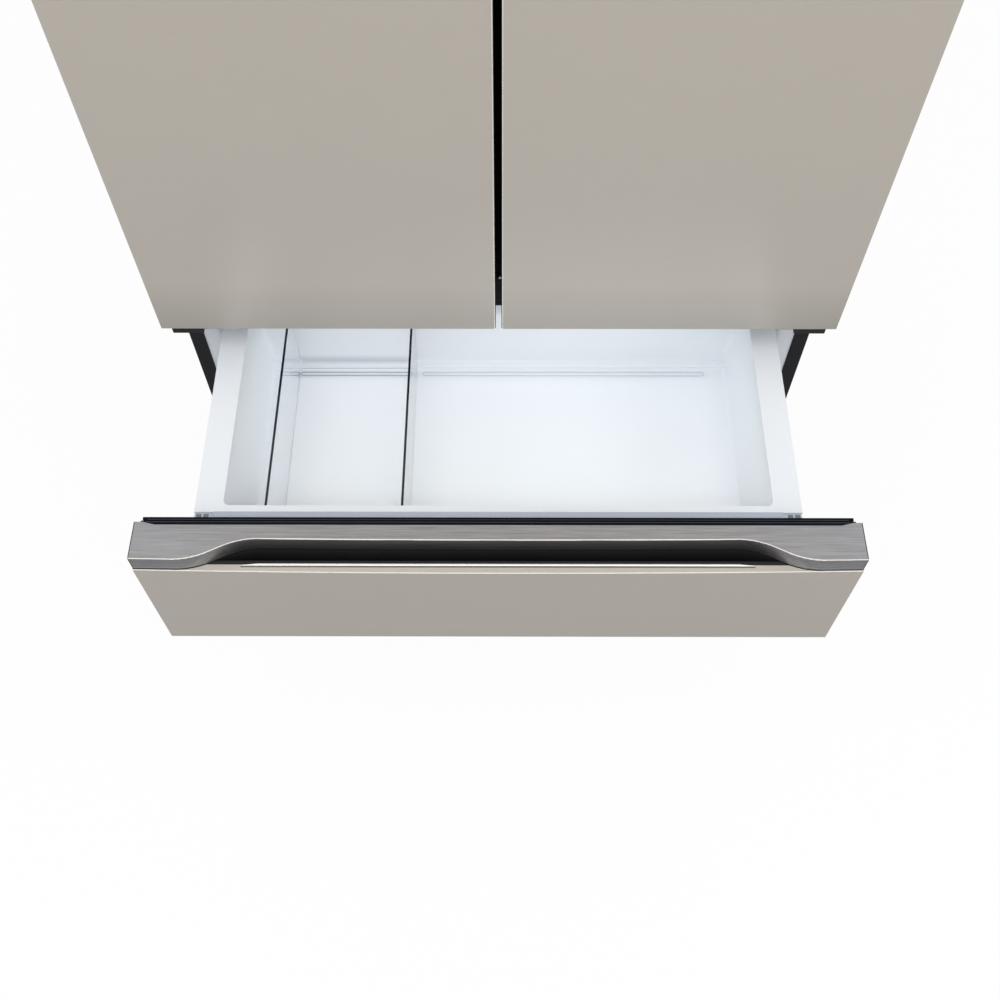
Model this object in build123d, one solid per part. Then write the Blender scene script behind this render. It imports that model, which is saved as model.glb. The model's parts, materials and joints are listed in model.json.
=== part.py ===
from build123d import *
import os
from math import cos, radians, sin

# Four-door refrigerator: two upper doors, a shallow middle drawer and a freezer drawer.
# Sizes are in millimetres. X runs along the front and Z runs up from the floor.
# While a piece is built, Y runs into the cabinet from the plane of the closed fronts.

# Overall sizes
OVERALL_DEPTH = 724.0
FRONT_SPAN = 912.0
CASE_MARGIN = 7.5
DOOR_HEIGHT = 980.0
DOOR_GAP = 9.5
HAND_GAP = 30.7
TOE_HEIGHT = 68.0
MIDDLE_PANEL_HEIGHT = 201.4
FREEZER_PANEL_HEIGHT = 391.7
LIP_HEIGHT = 26.2
CASE_DROP = 3.0

# How far the middle drawer stands open
MIDDLE_PULL = 336.9

# Thickness of the fronts and their seals
FRONT_THICKNESS = 55.1
FRONT_SKIN = 1.5
FRONT_RETURN = 18.0
FRONT_BOW = 4.0
FRONT_EDGE_RADIUS = 1.2
SKIN_FIT = 0.2
SEAL_WIDTH = 13.0
SEAL_THICKNESS = 9.0
SEAL_GAP = 0.3
SEAL_TOP_INSET = 2.3
SEAL_BASE_INSET = 4.3
SEAL_FOOT = 3.0
SEAL_NECK = 2.0
SEAL_LIP_INSET = 1.6
SEAL_NECK_INSET = 3.2
DOOR_SEAL_SIDE = 6.0
DOOR_SEAL_FREE = 6.8
DOOR_SEAL_BASE = 8.0
DOOR_SEAL_TOP = 10.0

# Sheet steel case
SHEET = 1.2
FLANGE_WIDTH = 21.5
TOP_FLANGE = 30.0
DOOR_SILL = 35.0
DRAWER_SILL = 31.3
RAIL_DEPTH = 20.0
CASE_FOOT = 30.0
CASE_EDGE_RADIUS = 3.0
PANEL_FIT = 0.3

# Moulded liners
LINER = 2.0
LEDGE_WIDTH = 35.0
FRESH_FOAM = 72.0
MIDDLE_FOAM = 217.0
FREEZER_FOAM = 222.0
EVAPORATOR_FOAM = 110.0
EVAPORATOR_LIFT = 36.0
FOAM_SETBACK = 3.6
FOAM_GAP = 0.3

# Machine compartment behind the freezer
MACHINE_DEPTH = 177.0
MACHINE_HEIGHT = 168.0
MACHINE_SHELL = 2.0

# Door hinges
PIVOT_INSET = 13.0
PIVOT_DEPTH = 25.0
PIN_RADIUS = 5.0
PIN_LENGTH = 18.0
PIN_CLEARANCE = 0.06
HINGE_PLATE = 5.0
HINGE_LIFT = 2.5
HINGE_INNER = 51.0
HINGE_OUTER = 10.0
HINGE_NOSE = 4.0
HINGE_LEG = 25.5
WASHER_RADIUS = 9.0
WASHER_GAP = 0.3
TOP_HINGE_REACH = 140.0
TOP_HINGE_SEAT = 5.0
COVER_HEIGHT = 23.0
COVER_WALL = 2.0

# Door insides
DYKE_WIDTH = 12.0
DYKE_DEPTH = 40.0
DYKE_FREE = 29.0
DYKE_SIDE = 33.0
DYKE_LOW = 42.0
DYKE_TOP = 58.0
DYKE_RADIUS = 18.0
DOOR_BIN_HEIGHTS = (275.0, 510.0, 745.0)
DOOR_BIN_TALL = 105.0
DOOR_BIN_REACH = 120.0
DOOR_BIN_FREE = 57.0
DOOR_BIN_DRAFT = 9.0
DOOR_BIN_WALL = 2.5
DOOR_BIN_RADIUS = 14.0
GRIP_LENGTH = 200.0
GRIP_START = 30.0
GRIP_WIDTH = 24.0
GRIP_DEPTH = 20.0

# Centre post between the doors
POST_HALF = 28.0
POST_DEPTH = 25.0

# Scooped handle rail on each drawer front
SCOOP_END_DEPTH = 2.4
SCOOP_FLAT_DEPTH = 1.2
SCOOP_DEEP = 30.8
SCOOP_MIDDLE = 28.1
SCOOP_OUTER_INSET = 76.0
SCOOP_INNER_INSET = 135.3
SCOOP_RADIUS = 100.0
SCOOP_SWEEP = 0.79
RAIL_SKIN = 3.0
POCKET_FRONT = 13.0
POCKET_DEPTH = 44.0
PANEL_TOP_RETURN = 9.5
TRIM_INSET = 156.0
TRIM_HEIGHT = 3.0

# Drawer bins
BIN_FRONT = 85.9
BIN_FRONT_RIM = 10.0
BIN_SIDE_RIM = 36.0
BIN_REAR_GAP = 56.1
BIN_REAR_RIM = 12.0
BIN_WALL = 3.0
BIN_DRAFT_SIDE = 11.0
BIN_DRAFT_FRONT = 4.0
BIN_DRAFT_REAR = 5.1
BIN_CORNER = 8.0
BIN_FLOOR_RADIUS = 5.0
BIN_SKIRT = 10.0
BIN_SKIRT_WALL = 2.5
BIN_RIM_DROP = 29.3
MIDDLE_BIN_DEPTH = 137.0
FREEZER_BIN_DROP = 91.0
FREEZER_BIN_DEPTH = 277.0
BIN_SEAT = 0.3
GROOVE_FROM_REAR = 28.5
GROOVE_WIDTH = 12.8
GROOVE_DEPTH = 2.0
GROOVE_ENDS = 35.4
STEP_LENGTH = 12.0
STEP_HEIGHT = 4.0

# Dividers in the middle bin
DIVIDER_THICKNESS = 3.0
DIVIDER_DROP = 20.0
DIVIDER_CLEARANCE = 0.6
DIVIDER_CORNER = 5.0
DIVIDER_INSET = 50.4
DIVIDER_SPACING = 179.0

# Telescopic drawer slides
LEDGE_CLEARANCE = 0.6
LEDGE_DROP = 22.0
LEDGE_RADIUS = 16.0
SLIDE_SETBACK = 4.1
SLIDE_REAR_GAP = 10.0
SLIDE_HEIGHT = 42.0
SLIDE_WIDTH = 12.0
SLIDE_SHEET = 1.5
SLIDE_GAP = 0.3
SLIDE_DROP = 52.0
SLIDE_HALF_TRAVEL = 0.5
RUNNER_FLANGE = 19.0
BLOCK_WIDTH = 22.0
BLOCK_HEIGHT = 88.0
BLOCK_GROOVE = 3.0
BLOCK_GROOVE_DEPTH = 6.0
BLOCK_GROOVE_COUNT = 3

# Freezer tray
TRAY_SIDE = 19.4
TRAY_LENGTH = 240.0
TRAY_DEPTH = 50.0
TRAY_DRAFT = 4.0
TRAY_WALL = 2.5

# Fresh-food shelves, crispers and ducts
SHELF_HEIGHTS = (370.0, 560.0, 740.0)
SHELF_FRONT = 200.0
SHELF_GLASS = 4.0
SHELF_RIM = 9.0
SHELF_MIDDLE_GAP = 6.0
SHELF_SIDE_GAP = 12.0
SHELF_REAR_GAP = 30.0
ARM_THICKNESS = 3.0
ARM_DEPTH = 34.0
ARM_NOSE = 10.0
TRACK_WIDTH = 16.0
TRACK_DEPTH = 8.0
TRACK_LOW = 260.0
TRACK_TOP = 60.0
CRISPER_COVER = 196.0
CRISPER_GAP = 6.0
CRISPER_SIDE_GAP = 14.0
CRISPER_WALL = 2.5
CRISPER_DRAFT = 6.0
CRISPER_REAR_GAP = 70.0
CRISPER_HEIGHT = 178.0
CRISPER_RADIUS = 12.0
CRISPER_LIP = 14.0
DUCT_HALF = 150.0
DUCT_DEPTH = 22.0
DUCT_LOW = 230.0
DUCT_HIGH = 60.0
DUCT_SLOT_WIDTH = 90.0
DUCT_SLOT_HEIGHT = 14.0
DUCT_SLOTS = 4
COVER_PLATE = 3.0
COVER_INSET = 2.0

# Evaporator, condenser, compressor and fans
COIL_FIN = 1.0
COIL_TUBE = 3.0
COIL_HEADER = 6.5
COIL_EDGE = 8.0
EVAPORATOR_SIDE = 112.0
EVAPORATOR_HEIGHT = 96.0
EVAPORATOR_THICK = 58.0
EVAPORATOR_FINS = 7
CONDENSER_SIDE = 53.5
CONDENSER_HEIGHT = 108.0
CONDENSER_THICK = 110.0
CONDENSER_FINS = 5
COIL_TUBES = 3
FAN_HUB_RADIUS = 13.0
FAN_DEPTH = 16.0
FAN_BLADES = 5
FAN_BLADE_THICK = 2.0
FAN_BLADE_ROOT = 12.0
FAN_BLADE_TIP = 21.0
FAN_BLADE_TILT = 38.0
FAN_SHAFT_RADIUS = 3.0
FAN_MOTOR_RADIUS = 19.0
FAN_MOTOR_LENGTH = 20.0
FAN_SHAFT_LENGTH = 14.0
FAN_TIP_GAP = 3.0
FAN_PLATE = 3.0
EVAPORATOR_FAN_RADIUS = 36.0
CONDENSER_FAN_RADIUS = 58.0
CONDENSER_FAN_SHIFT = 255.0
COMPRESSOR_INSET = 213.5
COMPRESSOR_RADIUS = 70.0
COMPRESSOR_HEIGHT = 128.0
COMPRESSOR_DOME = 32.0
COMPRESSOR_FOOT = 5.0
DRAIN_PAN_SHIFT = 140.0
DRAIN_PAN_WIDTH = 100.0
DRAIN_PAN_LENGTH = 140.0
DRAIN_PAN_HEIGHT = 45.0
DRAIN_PAN_WALL = 2.0

# Base: pan, channels, rollers, legs and toe grille
PAN_SHEET = 2.0
CHANNEL_INSET = 63.5
CHANNEL_INSIDE = 26.0
CHANNEL_SHEET = 2.0
CHANNEL_DROP = 54.0
CHANNEL_SETBACK = 60.6
AXLE_RADIUS = 4.0
AXLE_CLEARANCE = 0.05
ROLLER_WIDTH = 22.0
REAR_ROLLER_RADIUS = 20.0
FRONT_ROLLER_RADIUS = 17.0
FRONT_ROLLER_SETBACK = 85.6
REAR_ROLLER_BACK = 34.0
LEG_INSET = 26.5
LEG_SETBACK = 33.6
LEG_STUD_RADIUS = 5.0
LEG_CLEARANCE = 0.05
LEG_PAD_RADIUS = 16.0
LEG_PAD_HEIGHT = 9.0
LEG_NUT_ACROSS = 15.0
LEG_NUT_HEIGHT = 6.0
LEG_STUD_TOP = 62.0
BOSS_RADIUS = 11.0
BOSS_DROP = 18.0
GRILLE_LOW = 14.0
GRILLE_SETBACK = 3.6
GRILLE_THICK = 8.0
GRILLE_END = 8.5
GRILLE_SLOTS = 8
GRILLE_SLOT_GAP = 10.0
GRILLE_SLOT_ROWS = 3
GRILLE_SLOT_HEIGHT = 7.0

# Rear
BACK_SHEET = 1.2
BACK_RIB_DEPTH = 0.8
BACK_RIB_WIDTH = 149.0
BACK_RIB_END = 84.0
LOUVRE_COLUMNS = 4
LOUVRE_ROWS = 5
LOUVRE_HEIGHT = 8.0
LOUVRE_GAP = 24.0
GLAND_INSET = 48.5
GLAND_Z = 120.0
GLAND_HOLE_RADIUS = 4.5
GLAND_RADIUS = 8.0
GLAND_FLANGE = 12.0
GLAND_LENGTH = 14.0

# A little extra that lets one cut pass right through another piece, or just clear a rim
PAST = 1.0
HAIR = 0.1

# Heights that follow from the sizes above
freezer_base = TOE_HEIGHT
freezer_top = freezer_base + FREEZER_PANEL_HEIGHT + LIP_HEIGHT
middle_base = freezer_top + HAND_GAP
middle_top = middle_base + MIDDLE_PANEL_HEIGHT + LIP_HEIGHT
door_base = middle_top + HAND_GAP
door_top = door_base + DOOR_HEIGHT
case_top = door_top - CASE_DROP
seal_drop = SEAL_TOP_INSET + SEAL_WIDTH

# Openings in the front of the case
fresh_low = door_base + DOOR_SILL
fresh_high = case_top - TOP_FLANGE
middle_low = middle_base + DRAWER_SILL
middle_high = middle_top - seal_drop
freezer_low = freezer_base + DRAWER_SILL
freezer_high = freezer_top - seal_drop
front_half = FRONT_SPAN / 2
case_half = front_half - CASE_MARGIN
opening_half = case_half - FLANGE_WIDTH
ledge_half = opening_half - LEDGE_WIDTH
bin_half = ledge_half - LEDGE_CLEARANCE

# Depths that follow from the sizes above
flange_front = FRONT_THICKNESS + SEAL_THICKNESS + SEAL_GAP
liner_front = flange_front + SHEET
case_back = OVERALL_DEPTH - BACK_SHEET - BACK_RIB_DEPTH
machine_front = case_back - MACHINE_DEPTH
pan_top = TOE_HEIGHT
machine_top = pan_top + MACHINE_HEIGHT
fresh_depth = case_back - FRESH_FOAM
middle_depth = case_back - MIDDLE_FOAM
freezer_depth = case_back - FREEZER_FOAM
evaporator_depth = case_back - EVAPORATOR_FOAM
evaporator_floor = machine_top + EVAPORATOR_LIFT
foam_front = flange_front + RAIL_DEPTH + FOAM_SETBACK
front_y = (MIDDLE_PULL + FRONT_BOW - OVERALL_DEPTH) / 2

# Rims of the bins
middle_rim = middle_top - BIN_RIM_DROP
freezer_rim = freezer_top - FREEZER_BIN_DROP
pivot_x = front_half - PIVOT_INSET
gland_x = GLAND_INSET - case_half

# Corners of the scoop and ends of its trim
scoop_outer = front_half - SCOOP_OUTER_INSET
scoop_inner = front_half - SCOOP_INNER_INSET
trim_half = front_half - TRIM_INSET
scoop_sweep = SCOOP_SWEEP * scoop_inner**2 / (SCOOP_DEEP - SCOOP_MIDDLE)


def slab(x0, x1, y0, y1, z0, z1):
    """A box between two opposite corners."""
    centre = Pos((x0 + x1) / 2, (y0 + y1) / 2, (z0 + z1) / 2)
    return centre * Box(x1 - x0, y1 - y0, z1 - z0)


def ring(x0, x1, y0, y1, z0, z1, width):
    """A rectangular ring, seen from the front, of one width all round."""
    hole = slab(x0 + width, x1 - width, y0 - PAST, y1 + PAST, z0 + width, z1 - width)
    return slab(x0, x1, y0, y1, z0, z1) - hole


def upright(radius, x, y, z0, z1):
    """A cylinder that stands along Z."""
    return Pos(x, y, (z0 + z1) / 2) * Cylinder(radius, z1 - z0)


def across(radius, x0, x1, y, z):
    """A cylinder that lies along X."""
    return Pos((x0 + x1) / 2, y, z) * Rot(0, 90, 0) * Cylinder(radius, x1 - x0)


def inward(radius, x, y0, y1, z):
    """A cylinder that lies along Y."""
    return Pos(x, (y0 + y1) / 2, z) * Rot(90, 0, 0) * Cylinder(radius, y1 - y0)


def to_left(piece):
    """The left-hand twin of a piece on the right."""
    return mirror(piece, about=Plane.YZ)


def tapered_tub(low, high, z0, z1, radius):
    """A solid that widens from one rectangle up to a larger one, with round upright edges."""
    profiles = []
    for plane, i in ((Plane.XZ, 0), (Plane.YZ, 2)):
        outline = Polyline(
            (low[i], z0), (low[i + 1], z0), (high[i + 1], z1), (high[i], z1), close=True
        )
        profiles.append(extrude(plane * make_face(outline), OVERALL_DEPTH, both=True))
    solid = profiles[0] & profiles[1]
    level = solid.edges().group_by(Axis.Z)
    upright_edges = [edge for edge in solid.edges() if edge not in level[0] + level[-1]]
    return fillet(upright_edges, radius)


# Drawer fronts


def scoop_edge():
    """The front edge of the handle rail seen from above, with its S-curves."""
    points = [
        (-front_half, SCOOP_END_DEPTH),
        (-scoop_outer, SCOOP_FLAT_DEPTH),
        (-scoop_inner, SCOOP_DEEP),
        (0, SCOOP_MIDDLE),
        (scoop_inner, SCOOP_DEEP),
        (scoop_outer, SCOOP_FLAT_DEPTH),
        (front_half, SCOOP_END_DEPTH),
    ]
    radii = [SCOOP_RADIUS, SCOOP_RADIUS, scoop_sweep, SCOOP_RADIUS, SCOOP_RADIUS]
    return FilletPolyline(*points, radius=radii)


def behind_scoop():
    """The rail's outline seen from above."""
    back = Polyline(
        (front_half, SCOOP_END_DEPTH),
        (front_half, FRONT_THICKNESS),
        (-front_half, FRONT_THICKNESS),
        (-front_half, SCOOP_END_DEPTH),
    )
    return make_face(scoop_edge().edges() + back.edges())


def handle_rail(top):
    """Scooped rail with a closed lip all round, and the trim along the pocket's front."""
    outline = behind_scoop()
    block = Pos(0, 0, top - LIP_HEIGHT) * extrude(outline, LIP_HEIGHT)
    hollow = extrude(offset(outline, -RAIL_SKIN), LIP_HEIGHT - RAIL_SKIN + PAST)
    rail = block - Pos(0, 0, top - LIP_HEIGHT - PAST) * hollow
    panel_top = top - LIP_HEIGHT
    trim = slab(-trim_half, trim_half, PANEL_TOP_RETURN, POCKET_FRONT, panel_top - TRIM_HEIGHT, panel_top)
    return [rail, trim]


def bowed_block(half, front, back, z0, z1):
    """A block whose front is straight at its foot and bows forward along its top."""
    foot = Polyline((-half, front), (-half, back), (half, back), (half, front), close=True)
    sides = Polyline((-half, front), (-half, back), (half, back), (half, front))
    bow = ThreePointArc((half, front), (0, front - FRONT_BOW), (-half, front))
    head = make_face(sides.edges() + bow.edges())
    return loft([Pos(0, 0, z0) * make_face(foot), Pos(0, 0, z1) * head], ruled=True)


def drawer_panel(base, top):
    """Bowed front skin with returns; its top return forms the pocket's front lip."""
    outer = bowed_block(front_half, 0, FRONT_RETURN, base, top)
    inner = bowed_block(
        front_half - FRONT_SKIN, FRONT_SKIN, FRONT_RETURN + PAST, base + FRONT_SKIN, top - FRONT_SKIN
    )
    behind = slab(
        -front_half - PAST, front_half + PAST, PANEL_TOP_RETURN, FRONT_RETURN + PAST,
        top - FRONT_SKIN, top + PAST,
    )
    return outer - inner - behind


def drawer_body(base, top):
    """Black moulded body of a drawer front, with the finger pocket behind the panel."""
    panel_top = top - LIP_HEIGHT
    inset = FRONT_SKIN + SKIN_FIT
    core = bowed_block(
        front_half - inset, inset, FRONT_RETURN + SKIN_FIT, base + inset, panel_top - inset
    )
    shelf = slab(
        -front_half + inset, front_half - inset, PANEL_TOP_RETURN, FRONT_RETURN + SKIN_FIT,
        panel_top - inset, panel_top,
    )
    block = slab(
        -front_half, front_half, FRONT_RETURN + SKIN_FIT, FRONT_THICKNESS - LINER, base, panel_top
    )
    outline = behind_scoop()
    under_rail = extrude(offset(outline, -RAIL_SKIN - SKIN_FIT), LIP_HEIGHT - RAIL_SKIN - SKIN_FIT)
    body = core + shelf + block + Pos(0, 0, panel_top) * under_rail
    ahead = slab(-front_half, front_half, POCKET_FRONT, FRONT_THICKNESS, panel_top - POCKET_DEPTH, panel_top)
    pocket = ahead - Pos(0, 0, panel_top - POCKET_DEPTH - PAST) * extrude(outline, POCKET_DEPTH + 2 * PAST)
    trim_seat = slab(
        -trim_half, trim_half, PANEL_TOP_RETURN, POCKET_FRONT, panel_top - TRIM_HEIGHT, panel_top + PAST
    )
    return body - pocket - trim_seat


def drawer_front_liner(base, top, low, rim):
    """White back plate of a drawer front, with the plug that enters the opening."""
    plate = slab(
        -front_half + LINER, front_half - LINER, FRONT_THICKNESS - LINER, FRONT_THICKNESS,
        base + LINER, top - LIP_HEIGHT,
    )
    plug_half = bin_half - BLOCK_WIDTH - BIN_SEAT
    plug = slab(
        -plug_half, plug_half, FRONT_THICKNESS, BIN_FRONT - BIN_SEAT, low + LINER + PAST, rim - BIN_WALL
    )
    return plate + plug


def seal(x0, x1, z0, z1):
    """Magnetic seal: a broad foot, a narrow neck and a soft lip, as one ring."""
    foot_end = FRONT_THICKNESS + SEAL_FOOT
    neck_end = foot_end + SEAL_NECK
    lip_end = FRONT_THICKNESS + SEAL_THICKNESS
    lip_inset, neck_inset = SEAL_LIP_INSET, SEAL_NECK_INSET
    foot = ring(x0, x1, FRONT_THICKNESS, foot_end, z0, z1, SEAL_WIDTH)
    neck = ring(
        x0 + neck_inset, x1 - neck_inset, foot_end, neck_end,
        z0 + neck_inset, z1 - neck_inset, SEAL_WIDTH - 2 * neck_inset,
    )
    lip = ring(
        x0 + lip_inset, x1 - lip_inset, neck_end, lip_end,
        z0 + lip_inset, z1 - lip_inset, SEAL_WIDTH - 2 * lip_inset,
    )
    return foot + neck + lip


def drawer_seal(base, top):
    """The seal round the back of a drawer front."""
    return seal(-case_half, case_half, base + SEAL_BASE_INSET, top - SEAL_TOP_INSET)


# Bins, dividers and tray


bin_inner_half = bin_half - BIN_SIDE_RIM
bin_inner_front = BIN_FRONT + BIN_FRONT_RIM
bin_rear = middle_depth - BIN_REAR_GAP
bin_inner_rear = bin_rear - BIN_REAR_RIM
slide_start = BIN_FRONT + SLIDE_SETBACK
slide_length = freezer_depth - SLIDE_REAR_GAP - slide_start
step_start = bin_inner_rear - BIN_DRAFT_REAR - STEP_LENGTH
groove_y = bin_inner_rear - GROOVE_FROM_REAR
left_divider_x = DIVIDER_INSET - bin_inner_half
right_divider_x = left_divider_x + DIVIDER_SPACING


def drawer_bin(rim, depth):
    """Moulded bin with a broad rim, a skirt, a rear step and a groove across its floor."""
    floor = rim - depth
    half, front, rear = bin_inner_half, bin_inner_front, bin_inner_rear
    high = (-half, half, front, rear)
    low = (
        -half + BIN_DRAFT_SIDE, half - BIN_DRAFT_SIDE, front + BIN_DRAFT_FRONT, rear - BIN_DRAFT_REAR
    )
    grown_high = (-half - BIN_WALL, half + BIN_WALL, front - BIN_WALL, rear + BIN_WALL)
    grown_low = (low[0] - BIN_WALL, low[1] + BIN_WALL, low[2] - BIN_WALL, low[3] + BIN_WALL)
    tub = tapered_tub(grown_low, grown_high, floor - BIN_WALL, rim - BIN_WALL, BIN_CORNER + BIN_WALL)
    rim_plate = slab(-bin_half, bin_half, BIN_FRONT, bin_rear, rim - BIN_WALL, rim)
    skirt = slab(-bin_half, bin_half, BIN_FRONT, bin_rear, rim - BIN_SKIRT, rim) - slab(
        -bin_half + BIN_SKIRT_WALL, bin_half - BIN_SKIRT_WALL,
        BIN_FRONT + BIN_SKIRT_WALL, bin_rear - BIN_SKIRT_WALL, rim - BIN_SKIRT - PAST, rim + PAST,
    )
    cavity = tapered_tub(low, high, floor, rim + HAIR, BIN_CORNER)
    cavity = fillet(cavity.edges().group_by(Axis.Z)[0], BIN_FLOOR_RADIUS)
    cavity -= slab(-half, half, step_start, rear + PAST, floor - PAST, floor + STEP_HEIGHT)
    groove = Pos(0, groove_y, floor - GROOVE_DEPTH) * extrude(
        SlotOverall(2 * (bin_inner_half - GROOVE_ENDS), GROOVE_WIDTH), GROOVE_DEPTH + PAST
    )
    return tub + rim_plate + skirt - cavity - groove


def divider(x):
    """Clear upright plate that follows the bin's drafted ends and steps over its rear ledge."""
    rim, floor = middle_rim, middle_rim - MIDDLE_BIN_DEPTH
    foot, top = floor + BIN_SEAT, rim - DIVIDER_DROP
    clear = DIVIDER_CLEARANCE

    def front_at(z):
        return bin_inner_front + BIN_DRAFT_FRONT * (rim - z) / MIDDLE_BIN_DEPTH + clear

    def rear_at(z):
        return bin_inner_rear - BIN_DRAFT_REAR * (rim - z) / MIDDLE_BIN_DEPTH - clear

    ledge = floor + STEP_HEIGHT + BIN_SEAT
    outline = Polyline(
        (front_at(foot) + DIVIDER_CORNER, foot),
        (step_start - clear, foot),
        (step_start - clear, ledge),
        (rear_at(ledge) - DIVIDER_CORNER, ledge),
        (rear_at(ledge + DIVIDER_CORNER), ledge + DIVIDER_CORNER),
        (rear_at(top), top),
        (front_at(top), top),
        (front_at(foot + DIVIDER_CORNER), foot + DIVIDER_CORNER),
        close=True,
    )
    plate = extrude(Plane.YZ * make_face(outline), DIVIDER_THICKNESS / 2, both=True)
    return Pos(x, 0, 0) * plate


def freezer_tray():
    """Shallow tray that rides back and forth on the rims of the freezer bin."""
    low_z = freezer_rim + BIN_SEAT
    high_z = low_z + TRAY_DEPTH
    half, front = bin_half - TRAY_SIDE, bin_inner_front
    high = (-half, half, front, front + TRAY_LENGTH)
    low = (high[0] + TRAY_DRAFT, high[1] - TRAY_DRAFT, high[2] + TRAY_DRAFT, high[3] - TRAY_DRAFT)
    inner_high = (high[0] + TRAY_WALL, high[1] - TRAY_WALL, high[2] + TRAY_WALL, high[3] - TRAY_WALL)
    inner_low = (low[0] + TRAY_WALL, low[1] - TRAY_WALL, low[2] + TRAY_WALL, low[3] - TRAY_WALL)
    outer = tapered_tub(low, high, low_z, high_z, BIN_CORNER)
    return outer - tapered_tub(inner_low, inner_high, low_z + TRAY_WALL, high_z + HAIR, BIN_CORNER)


# Telescopic slides, drawn for the right-hand side


def channel(x_web, x_open, z0, z1, y0, y1):
    """A C-section along Y: a web at one X and two flanges that run to the other."""
    turn = 1 if x_open > x_web else -1
    x_low, x_high = sorted((x_web, x_open))
    body = slab(x_low, x_high, y0, y1, z0, z1)
    inside_low, inside_high = sorted((x_web + turn * SLIDE_SHEET, x_open + turn * PAST))
    return body - slab(inside_low, inside_high, y0 - PAST, y1 + PAST, z0 + SLIDE_SHEET, z1 - SLIDE_SHEET)


def fixed_track(rim):
    """Outer member, fixed to the liner's side ledge."""
    middle = rim - SLIDE_DROP
    half = SLIDE_HEIGHT / 2
    return channel(
        ledge_half, ledge_half - SLIDE_WIDTH, middle - half, middle + half,
        slide_start, slide_start + slide_length,
    )


def middle_member(rim):
    """Member that runs inside the fixed track and carries the drawer's own member."""
    middle = rim - SLIDE_DROP
    half = SLIDE_HEIGHT / 2 - SLIDE_SHEET - SLIDE_GAP
    return channel(
        ledge_half - SLIDE_SHEET - SLIDE_GAP, ledge_half - SLIDE_WIDTH, middle - half, middle + half,
        slide_start, slide_start + slide_length,
    )


def runner(rim):
    """Drawer member with the angle that carries the bin's rim and the block at the front."""
    middle = rim - SLIDE_DROP
    half = SLIDE_HEIGHT / 2 - 2 * (SLIDE_SHEET + SLIDE_GAP)
    inner = ledge_half - SLIDE_WIDTH - SLIDE_GAP - SLIDE_SHEET
    outer = ledge_half - 2 * SLIDE_SHEET - 3 * SLIDE_GAP
    y_end = slide_start + slide_length
    member = channel(inner, outer, middle - half, middle + half, slide_start, y_end)
    seat = rim - BIN_WALL
    web = slab(inner, inner + SLIDE_SHEET, slide_start, bin_rear, middle, seat)
    flange = slab(inner - RUNNER_FLANGE, inner + SLIDE_SHEET, BIN_FRONT + BIN_SKIRT_WALL + BIN_SEAT,
                  bin_rear - BIN_SKIRT_WALL - BIN_SEAT, seat - SLIDE_SHEET, seat)
    web -= slab(inner - PAST, inner + SLIDE_WIDTH, bin_rear - BIN_SKIRT_WALL - BIN_SEAT,
                bin_rear + PAST, rim - BIN_SKIRT - BIN_SEAT, rim)
    block_x = bin_half - BLOCK_WIDTH
    block = slab(
        block_x, bin_half - BIN_SEAT, FRONT_THICKNESS, BIN_FRONT - BIN_SEAT, seat - BLOCK_HEIGHT, seat
    )
    pitch = BLOCK_WIDTH / (BLOCK_GROOVE_COUNT + 1)
    for i in range(BLOCK_GROOVE_COUNT):
        x = block_x + pitch * (i + 1)
        block -= slab(
            x - BLOCK_GROOVE / 2, x + BLOCK_GROOVE / 2, FRONT_THICKNESS + LINER, BIN_FRONT,
            seat - BLOCK_GROOVE_DEPTH, seat + PAST,
        )
    tongue = slab(
        inner, inner + SLIDE_SHEET, BIN_FRONT - BIN_SEAT, slide_start, middle - half, middle + half
    )
    return member + web + flange + block + tongue


def pair(piece):
    """A right-hand piece and its left-hand twin."""
    return [piece, to_left(piece)]


# Doors, drawn for the right-hand side


door_free = DOOR_GAP / 2


def door_panel():
    """Front skin of a door, folded back round all four edges."""
    outer = slab(door_free, front_half, 0, FRONT_RETURN, door_base, door_top)
    outer = fillet(outer.edges().group_by(Axis.Y)[0], FRONT_EDGE_RADIUS)
    inner = slab(
        door_free + FRONT_SKIN, front_half - FRONT_SKIN, FRONT_SKIN, FRONT_RETURN + PAST,
        door_base + FRONT_SKIN, door_top - FRONT_SKIN,
    )
    return outer - inner


def door_body():
    """Foamed door body with its edge caps, hinge bores and the finger grip underneath."""
    inset = FRONT_SKIN + SKIN_FIT
    core = slab(
        door_free + inset, front_half - inset, inset, FRONT_RETURN + SKIN_FIT,
        door_base + inset, door_top - inset,
    )
    block = slab(
        door_free, front_half, FRONT_RETURN + SKIN_FIT, FRONT_THICKNESS - LINER, door_base, door_top
    )
    bore = PIN_RADIUS + PIN_CLEARANCE
    depth = PIN_LENGTH + PAST
    low_bore = upright(bore, pivot_x, PIVOT_DEPTH, door_base - PAST, door_base + depth)
    top_bore = upright(bore, pivot_x, PIVOT_DEPTH, door_top - depth, door_top + PAST)
    grip_back = FRONT_THICKNESS - LINER - BIN_WALL
    grip = slab(
        door_free + GRIP_START, door_free + GRIP_START + GRIP_LENGTH,
        grip_back - GRIP_WIDTH, grip_back, door_base - PAST, door_base + GRIP_DEPTH,
    )
    grip = fillet(grip.edges().group_by(Axis.Z)[-1], BIN_FLOOR_RADIUS)
    return core + block - low_bore - top_bore - grip


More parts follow.
